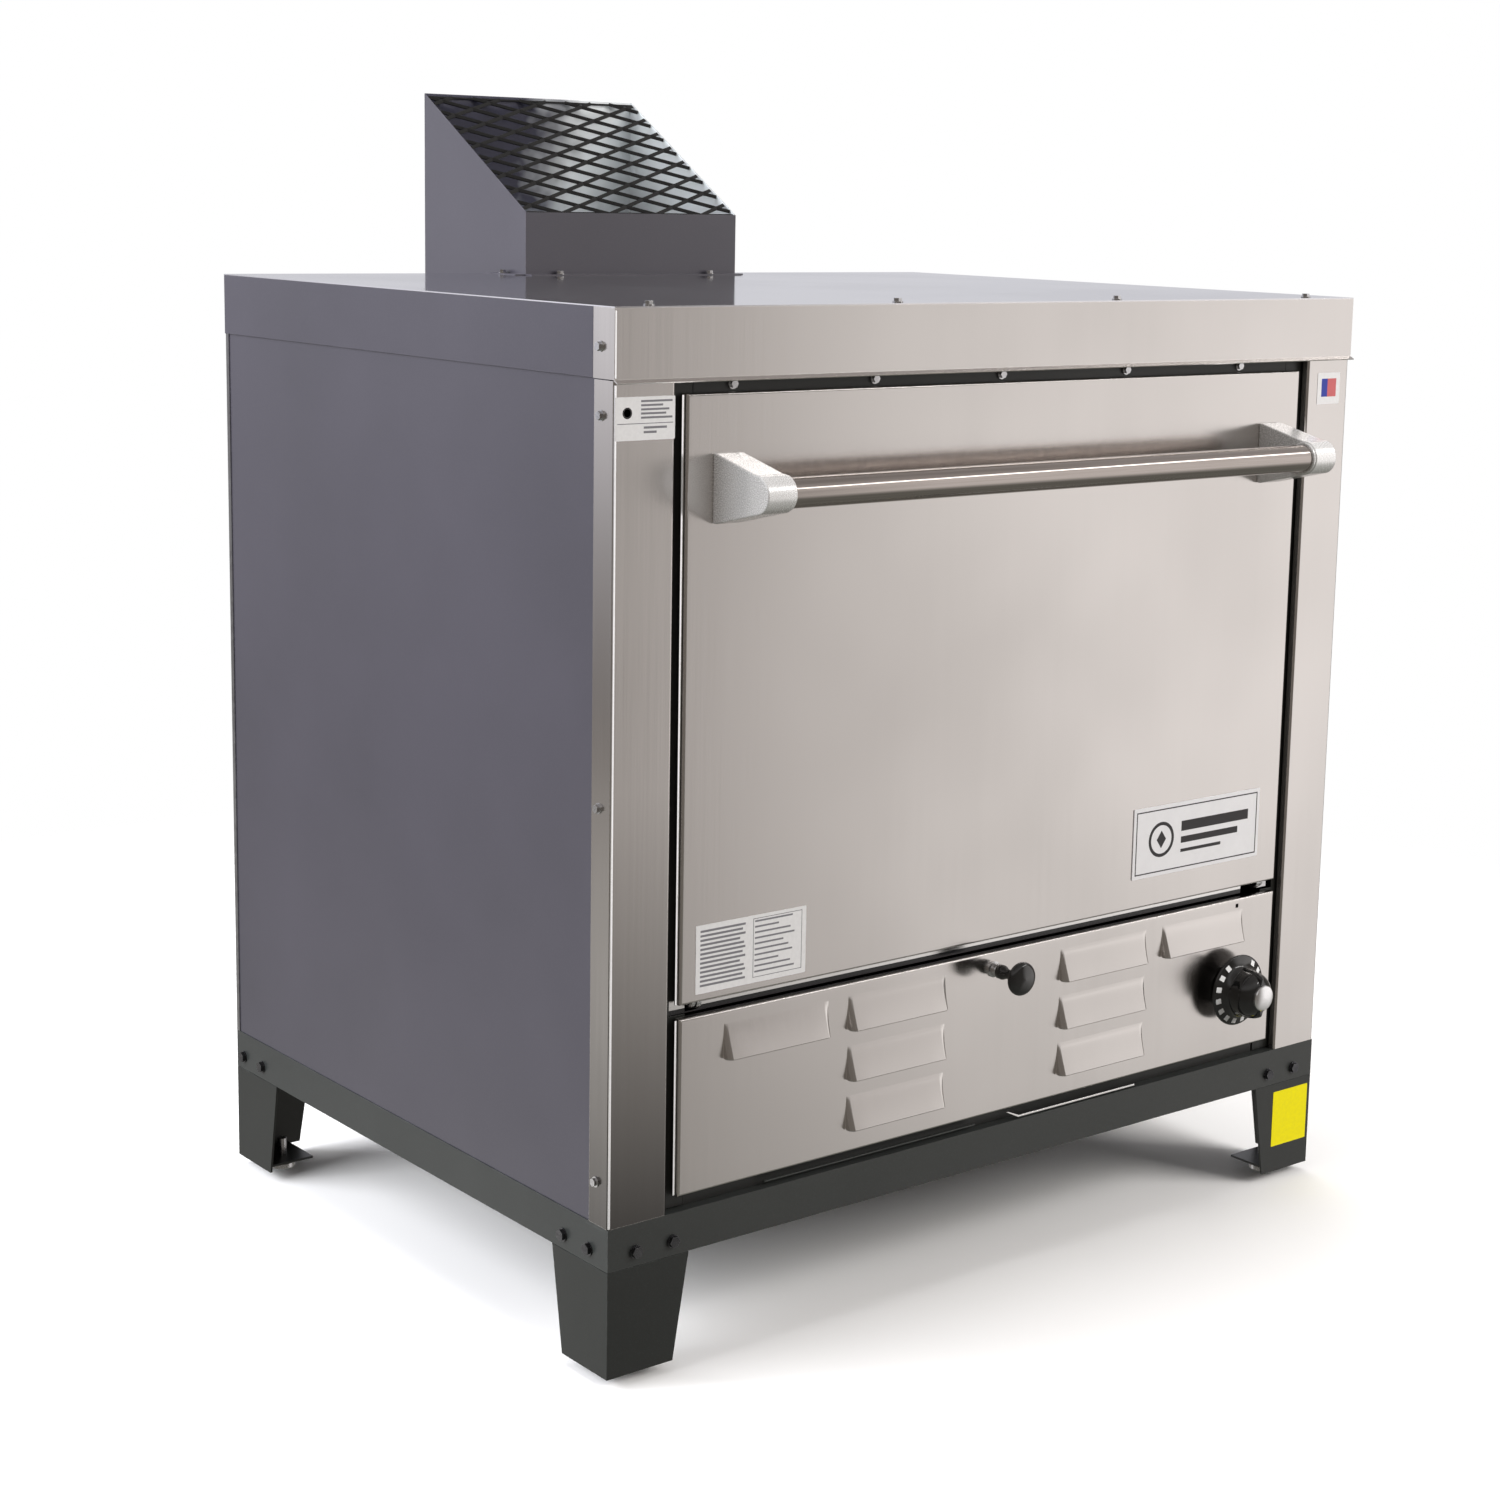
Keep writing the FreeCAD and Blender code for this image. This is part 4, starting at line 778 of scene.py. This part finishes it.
def handle_brackets():
    rim = [(14.1, 0.0), (16.4, 0.0), (16.4, 1.3), (15.6, 2.0), (14.1, 2.0)]
    for side, word in SIDES:
        outer, inner = side * BRACKET_OUT, side * BRACKET_IN
        mesh = bmesh.new()
        loft(mesh, [[at(x, v, z) for v, z in bracket_outline()] for x in (outer, inner)])
        bracket = piece("handle_casting_" + word, mesh, "door", LOOKS["cast_aluminium"],
                        ["handle_bracket_" + word])
        soften(bracket, 1.6, 4)
        mesh = bmesh.new()
        profile = [(radius, -side * along) for radius, along in rim]
        turned(mesh, profile, (inner, HANDLE_V, HANDLE_Z), "x", 56)
        piece("handle_rim_" + word, mesh, "door", LOOKS["cast_aluminium"])


# ---- draught hood's mesh ---------------------------------------------
MESH_LONG, MESH_SHORT = 65.0, 32.0
STRAND_W, STRAND_T = 4.3, 1.6
BOND_W, BOND_T, BOND_HALF = 5.0, 1.8, 5.0
BORDER_W, BORDER_IN, SIDE_GAP = 2.2, 1.2, 0.6


def clipped(start, end, half_w, length):
    """The stretch of a strand that lies on the sheet, or None."""
    t0, t1 = 0.0, 1.0
    du, dw = end[0] - start[0], end[1] - start[1]
    for step, room_low, room_high in ((du, -half_w - start[0], half_w - start[0]),
                                      (dw, -start[1], length - start[1])):
        low, high = sorted((room_low / step, room_high / step))
        t0, t1 = max(t0, low), min(t1, high)
    shortest = 0.04
    if t1 - t0 < shortest:
        return None
    return [(start[0] + du * t, start[1] + dw * t) for t in (t0, t1)]


def expanded_mesh():
    """Slit-and-stretched sheet: tilted flat strands that meet in short bonds."""
    low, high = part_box("flue_mesh")
    half_w = high.x / MM
    rise, run = (high.z - low.z) / MM, (high.y - low.y) / MM
    slope = math.atan2(rise, run)
    end_gap, raised, tilt = 0.8, 0.9, math.radians(28)
    length = math.hypot(rise, run) - end_gap
    origin = Vector((0, low.y, low.z + raised * MM))
    along = Vector((0, math.cos(slope), math.sin(slope)))
    normal = Vector((0, -math.sin(slope), math.cos(slope)))
    across = Vector((1, 0, 0))
    mesh = bmesh.new()

    def strand(start, end, width, thick):
        a, b = (origin + (across * u + along * w) * MM for u, w in (start, end))
        direction = (b - a).normalized()
        flat = direction.cross(normal).normalized()
        if flat.dot(along) < 0:
            flat = -flat
        turn = Matrix.Rotation(tilt if direction.x > 0 else -tilt, 3, direction)
        flat, up = turn @ flat, turn @ normal
        corners = ((-width, -thick), (width, -thick), (width, thick), (-width, thick))
        loft(mesh, [[p + (flat * i + up * j) * (MM / 2) for i, j in corners] for p in (a, b)])

    # bonds keep clear of the sheet's sides and ends
    bond_side, bond_end = 6, 3
    columns = int(half_w / (MESH_LONG / 2)) + 2
    rows = int(length / (MESH_SHORT / 2)) + 2
    for i in range(-columns, columns + 1):
        for j in range(-1, rows + 1):
            if (i + j) % 2 == 0:
                continue
            u, w = i * MESH_LONG / 2, j * MESH_SHORT / 2
            for up in (-1, 1):
                end = (u + MESH_LONG / 2, w + up * MESH_SHORT / 2)
                kept = clipped((u, w), end, half_w - SIDE_GAP, length)
                if kept:
                    strand(*kept, STRAND_W, STRAND_T)
            if abs(u) < half_w - bond_side and bond_end < w < length - bond_end:
                strand((u - BOND_HALF, w), (u + BOND_HALF, w), BOND_W, BOND_T)
    for w in (BORDER_IN, length - BORDER_IN):
        strand((-half_w + SIDE_GAP, w), (half_w - SIDE_GAP, w), BORDER_W, STRAND_T)
    piece("hood_mesh", mesh, "cabinet", MESH_LOOK, ["flue_mesh"], bevel=0.25)


# ---- nameplate, labels and tags --------------------------------------
PRINT_T = 0.06
LABEL_V = -0.3


def marks(name, rects, v, look, body):
    """Thin printed blocks (x0, x1, z0, z1) on a face that looks to the front."""
    mesh = bmesh.new()
    for x0, x1, z0, z1 in rects:
        block(mesh, x0, x1, v - PRINT_T, v, z0, z1)
    piece(name, mesh, body, look)


def outline_rects(x0, x1, z0, z1, line):
    return [(x0, x1, z0, z0 + line), (x0, x1, z1 - line, z1),
            (x0, x0 + line, z0, z1), (x1 - line, x1, z0, z1)]


def text_rows(x0, x1, z0, z1, pitch, height, lengths):
    """Rows of plain bars that stand for small print; lengths are shares of the row, in turn."""
    rects = []
    z = z1 - height
    while z > z0:
        share = lengths[len(rects) % len(lengths)]
        rects.append((x0, x0 + (x1 - x0) * share, z, z + height))
        z -= pitch
    return rects


def card(name, x0, x1, z0, z1, v0, v1, look, body, replaces, radius=1.0, bevel=0.0):
    """Flat piece with rounded corners."""
    corners = [((x1 - radius, z0 + radius), -90), ((x1 - radius, z1 - radius), 0),
               ((x0 + radius, z1 - radius), 90), ((x0 + radius, z0 + radius), 180)]
    outline = []
    for centre, start in corners:
        outline += arc(centre, radius, start, start + 90, 5)
    mesh = bmesh.new()
    loft(mesh, [[at(x, v, z) for x, z in outline] for v in (v0, v1)])
    piece(name, mesh, body, look, replaces, bevel=bevel)


def label(name, x0, x1, z0, z1, body, look, replaces=()):
    card(name, x0, x1, z0, z1, LABEL_V, 0.0, look, body, replaces)


def nameplate():
    """Bright plate with a thin dark frame and a plain ring-and-bars emblem."""
    x0, x1, z0, z1, v = 178.5, 372.5, 385.0, 461.0, -1.0
    card("name_plate", x0, x1, z0, z1, v, 0.0, LOOKS["plate_aluminium"], "door",
         ["nameplate"], 1.2, 0.25)
    inset, line = 4.0, 1.3
    frame_rects = outline_rects(x0 + inset, x1 - inset, z0 + inset, z1 - inset, line)
    marks("plate_frame", frame_rects, v, DARK_INK_LOOK, "door")
    centre_x, centre_z, ring_r, ring_w = x0 + 42.0, (z0 + z1) / 2 + 1.0, 19.0, 3.6
    half_w, half_h, lift, steps = 7.0, 9.5, 0.08, 48
    hole_r = ring_r - ring_w
    mesh = bmesh.new()
    rings = []
    for radius, height in ((hole_r, 0.0), (hole_r, lift), (ring_r, lift), (ring_r, 0.0)):
        circle = arc((centre_x, centre_z), radius, 0, 360 - 360 / steps, steps - 1)
        rings.append([at(x, v - height, z) for x, z in circle])
    loft(mesh, rings + rings[:1], caps=False)
    diamond = [(centre_x, centre_z - half_h), (centre_x + half_w, centre_z),
               (centre_x, centre_z + half_h), (centre_x - half_w, centre_z)]
    loft(mesh, [[at(x, depth, z) for x, z in diamond] for depth in (v - lift, v)])
    piece("plate_emblem", mesh, "door", DARK_INK_LOOK)
    # each bar: how far it ends before the plate's edge, and its lower and upper height
    bars = [(x0 + 72.0, x1 - short, centre_z + low, centre_z + high)
            for short, low, high in ((18.0, 5.0, 16.0), (34.0, -8.0, -1.0), (60.0, -18.0, -14.5))]
    marks("plate_bars", bars, v, DARK_INK_LOOK, "door")


def labels():
    """The door's label, the two tags on the columns and the one on the leg, with plain bars."""
    x0, x1, z0, z1 = -387.5, -258.5, 361.0, 426.0
    label("door_sticker", x0, x1, z0, z1, "door", LOOKS["paper_label"], ["door_label"])
    rows = text_rows(x0 + 5, x0 + 57, z0 + 5, z1 - 5, 4.3, 2.1, (1.0, 0.94, 1.0, 0.88, 0.97))
    rows += text_rows(x0 + 68, x1 - 14, z0 + 9, z1 - 5, 5.4, 1.7,
                      (0.95, 0.6, 0.9, 1.0, 0.72, 0.85))
    rows += outline_rects(x0 + 66, x1 - 5, z0 + 5, z1 - 3, 0.6)
    marks("door_sticker_print", rows, LABEL_V, INK_LOOK, "door")

    x0, x1, z0, z1 = -HALF_W + 1.0, -HALF_W + 64.5, 874.0, 912.0
    label("column_tag", x0, x1, z0, z1, "cabinet", LOOKS["paper_label"], ["paper_tags"])
    rows = text_rows(x0 + 27, x1 - 3, z0 + 17, z1 - 3, 3.6, 1.8, (1.0, 0.7, 0.9, 0.8))
    rows += text_rows(x0 + 30, x1 - 6, z0 + 5, z0 + 12, 4.0, 2.0, (0.9, 0.5))
    rows += [(x0 + 2, x1 - 2, 888.3, 889.0)]
    marks("column_tag_print", rows, LABEL_V, INK_LOOK, "cabinet")
    ring = [(3.6, 0.0), (3.6, -0.08), (5.0, -0.08), (5.0, 0.0)]
    mesh = bmesh.new()
    turned(mesh, ring, (x0 + 12.5, LABEL_V, z0 + 24), steps=40)
    piece("column_tag_ring", mesh, "cabinet", DARK_INK_LOOK)

    label("column_badge", 433.5, 469.5, 876.0, 910.0, "cabinet", LOOKS["paper_label"])
    left, middle, right, low, high = 440.0, 449.5, 463.5, 884.0, 903.5
    marks("badge_red", [(middle, right, low, high)], LABEL_V, RED_LOOK, "cabinet")
    marks("badge_blue", [(left, middle, low, high)], LABEL_V, BLUE_LOOK, "cabinet")
    label("leg_tag", 421.0, 478.0, 40.0, 104.0, "cabinet", YELLOW_LOOK)


# ---- carried-over CAD nodes ------------------------------------------
def dress_cad():
    """Gives every CAD node that stays its material and, on its visible edges, a small bevel."""
    own_look = {"top_panel": TOP_LOOK, "handle_tube": TUBE_LOOK, "door_sill": SILL_LOOK,
                "base_bolts": BOLT_LOOK}
    own_look.update({name: LEG_LOOK for name in NODES if name.startswith("leg_")})
    own_look.update({name: HOOD_LOOK for name in NODES if name.startswith("hood_")})
    bevels = {"stainless": 0.45, "dark_paint": 0.5, "base_black": 0.7, "fastener_steel": 0.3,
              "frame_black": 0.3, "hearth_stone": 1.5, "mineral_wool": 3.0, "valve_brass": 0.6}
    weld_gap, flat_within = 0.005, 0.6
    for name, node in NODES.items():
        slot = SLOT_OF[name]
        look = own_look.get(name) or LOOKS[slot]
        node.data.materials.clear()
        node.data.materials.append(look.material)
        if node.hide_render or slot not in bevels:
            continue
        # a flat face becomes one polygon first, so that the bevel meets no sliver triangles
        weld = node.modifiers.new("weld", "WELD")
        weld.merge_threshold = weld_gap * MM
        flat = node.modifiers.new("flat", "DECIMATE")
        flat.decimate_type = "DISSOLVE"
        flat.angle_limit = math.radians(flat_within)
        soften(node, bevels[slot])


# ---- camera, light, floor --------------------------------------------
CAMERA_PLACE = (-1.8055, -2.3185, 1.094)
CAMERA_YAW, CAMERA_PITCH, CAMERA_ROLL = 39.60, -9.72, 1.30
CAMERA_LENS, CAMERA_SENSOR, CAMERA_SHIFT = 64.57, 36.0, (-0.063, -0.067)

# The room that the steel reflects. Each patch has its direction, the degrees from it where the
# patch begins and where it is full, and its colour; later ones lie over earlier ones.
ROOM_COLOUR = (0.165, 0.148, 0.132)
FRONT_PATCH = ((0.80, -0.60, 0), 21, 7, (1.08, 1.04, 1.02))
PATCHES = (
    ((0, 0, 1), 72, 56, (0.52, 0.50, 0.49)),
    ((0.60, 0.80, 0.15), 42, 14, (0.66, 0.66, 0.70)),
    ((-0.57, 0.82, 0.08), 13, 5, (2.10, 2.06, 2.10)),
    ((-0.57, 0.75, 0.40), 38, 14, (0.62, 0.63, 0.70)),
    ((0, 0, 1), 52, 28, (0.30, 0.28, 0.27)),
    ((0, 0, -1), 79, 54, (0.20, 0.20, 0.18)),
    ((-0.53, 0.76, -0.42), 13, 6, (0.95, 0.93, 0.90)),
)
FLOOR_R, FLOOR_DROP, FADE_START, FADE_END = 7.0, 0.0005, 0.75, 1.9


def camera():
    yaw, pitch, roll = (math.radians(a) for a in (CAMERA_YAW, CAMERA_PITCH, CAMERA_ROLL))
    level = math.cos(pitch)
    forward = Vector((math.sin(yaw) * level, math.cos(yaw) * level, math.sin(pitch)))
    right = Vector((math.cos(yaw), -math.sin(yaw), 0))
    up = right.cross(forward)
    side = math.cos(roll) * right + math.sin(roll) * up
    top = -math.sin(roll) * right + math.cos(roll) * up
    data = bpy.data.cameras.new("view")
    data.lens, data.sensor_width = CAMERA_LENS, CAMERA_SENSOR
    data.shift_x, data.shift_y = CAMERA_SHIFT
    obj = bpy.data.objects.new("view", data)
    obj.matrix_world = Matrix((side, top, -forward)).transposed().to_4x4()
    obj.location = CAMERA_PLACE
    bpy.context.scene.collection.objects.link(obj)
    bpy.context.scene.camera = obj


def softbox(name, place, aim, size, power, colour=(1, 1, 1), glossy=False):
    data = bpy.data.lights.new(name, "AREA")
    data.shape = "RECTANGLE"
    data.size, data.size_y = size
    data.energy = power
    data.color = colour
    obj = bpy.data.objects.new(name, data)
    obj.location = place
    obj.rotation_mode = "QUATERNION"
    obj.rotation_quaternion = (Vector(aim) - Vector(place)).to_track_quat("-Z", "Y")
    obj.visible_glossy = glossy
    bpy.context.scene.collection.objects.link(obj)


def studio():
    """A plain white room to the camera, and a soft grey one in the steel's reflections."""
    world = bpy.data.worlds.new("studio")
    bpy.context.scene.world = world
    world.use_nodes = True
    tree = world.node_tree
    tree.nodes.clear()
    make, link = tree.nodes.new, tree.links.new
    coords = make("ShaderNodeTexCoord").outputs["Generated"]
    flat = make("ShaderNodeVectorMath")
    flat.operation = "MULTIPLY"
    link(coords, flat.inputs[0])
    flat.inputs[1].default_value = (1, 1, 0)
    level = make("ShaderNodeVectorMath")
    level.operation = "NORMALIZE"
    link(flat.outputs[0], level.inputs[0])

    def toward(direction, near, far, around=False):
        """0 to 1 as the ray turns to within a number of degrees of a direction."""
        dot = make("ShaderNodeVectorMath")
        dot.operation = "DOT_PRODUCT"
        link(level.outputs[0] if around else coords, dot.inputs[0])
        dot.inputs[1].default_value = Vector(direction).normalized()
        ramp = make("ShaderNodeMapRange")
        ramp.interpolation_type = "SMOOTHSTEP"
        begins, full = math.cos(math.radians(near)), math.cos(math.radians(far))
        for index, number in enumerate((begins, full, 0, 1)):
            ramp.inputs[index + 1].default_value = number
        link(dot.outputs["Value"], ramp.inputs[0])
        return ramp.outputs[0]

    def blend(factor, first, second):
        node = make("ShaderNodeMix")
        node.data_type = "RGBA"
        link(factor, node.inputs["Factor"])
        for socket, colour in ((node.inputs[6], first), (node.inputs[7], second)):
            if isinstance(colour, bpy.types.NodeSocket):
                link(colour, socket)
            else:
                socket.default_value = (*colour, 1.0)
        return node.outputs[2]

    direction, near, far, colour = FRONT_PATCH
    sky = blend(toward(direction, near, far, around=True), ROOM_COLOUR, colour)
    for direction, near, far, colour in PATCHES:
        sky = blend(toward(direction, near, far), sky, colour)
    room = make("ShaderNodeBackground")
    link(sky, room.inputs["Color"])
    room.inputs["Strength"].default_value = 1.0
    white = make("ShaderNodeBackground")
    white.inputs["Color"].default_value = (1, 1, 1, 1)
    seen = make("ShaderNodeLightPath")
    both = make("ShaderNodeMixShader")
    link(seen.outputs["Is Camera Ray"], both.inputs[0])
    link(room.outputs[0], both.inputs[1])
    link(white.outputs[0], both.inputs[2])
    link(both.outputs[0], make("ShaderNodeOutputWorld").inputs[0])


def floor():
    """Pale floor that fades into the white room within two metres of its centre."""
    mesh = bmesh.new()
    bmesh.ops.create_circle(mesh, cap_ends=True, segments=96, radius=FLOOR_R)
    data = bpy.data.meshes.new("floor")
    mesh.to_mesh(data)
    mesh.free()
    obj = bpy.data.objects.new("floor", data)
    obj.location.z = -FLOOR_DROP
    bpy.context.scene.collection.objects.link(obj)
    look = Look("pale_floor", Roughness=0.8, Specular_IOR_Level=0.2)
    cloudy = look.span(look.noise(2.0, detail=3.0), 0.0, 1.0)
    look.set("Base Color", look.mix(cloudy, (0.95, 0.95, 0.95), (0.98, 0.98, 0.98)))
    distance = look.add("ShaderNodeVectorMath", operation="LENGTH")
    look.feed(distance.inputs[0], look.place)
    look.set("Alpha", look.span(distance.outputs["Value"], 1.0, 0.0, FADE_START, FADE_END))
    data.materials.append(look.material)
    obj.visible_glossy = False
    obj.visible_diffuse = False


burner_panel()
door_pan()
for column_side, column_word in SIDES:
    column_sheet(column_side, column_word)
finger_lip()
pan_hem()
bright_edges()
thermostat_knob()
damper_pull()
handle_brackets()
expanded_mesh()
nameplate()
labels()
dress_cad()
camera()
studio()
floor()
softbox("key", place=(2.4, -3.6, 2.6), aim=(0.1, -0.1, 0.6), size=(2.6, 2.2), power=165,
        colour=(1.0, 0.97, 0.94))
softbox("fill", place=(-3.0, 1.9, 2.4), aim=(0, 0.3, 0.8), size=(2.2, 2.2), power=125,
        colour=(0.95, 0.96, 1.0))
softbox("strip", place=(2.9, -2.6, 2.9), aim=(0.1, -0.45, 0.8), size=(2.6, 0.30), power=13,
        colour=(1.0, 0.98, 0.96), glossy=True)
softbox("left", place=(-3.4, 0.3, 1.5), aim=(-0.4, 0.1, 0.7), size=(1.8, 1.6), power=115,
        colour=(0.97, 0.98, 1.0))
softbox("over", place=(0.2, 0.6, 4.0), aim=(0, 0, 0.9), size=(3.0, 3.0), power=110)
bpy.context.scene.view_settings.view_transform = "Standard"
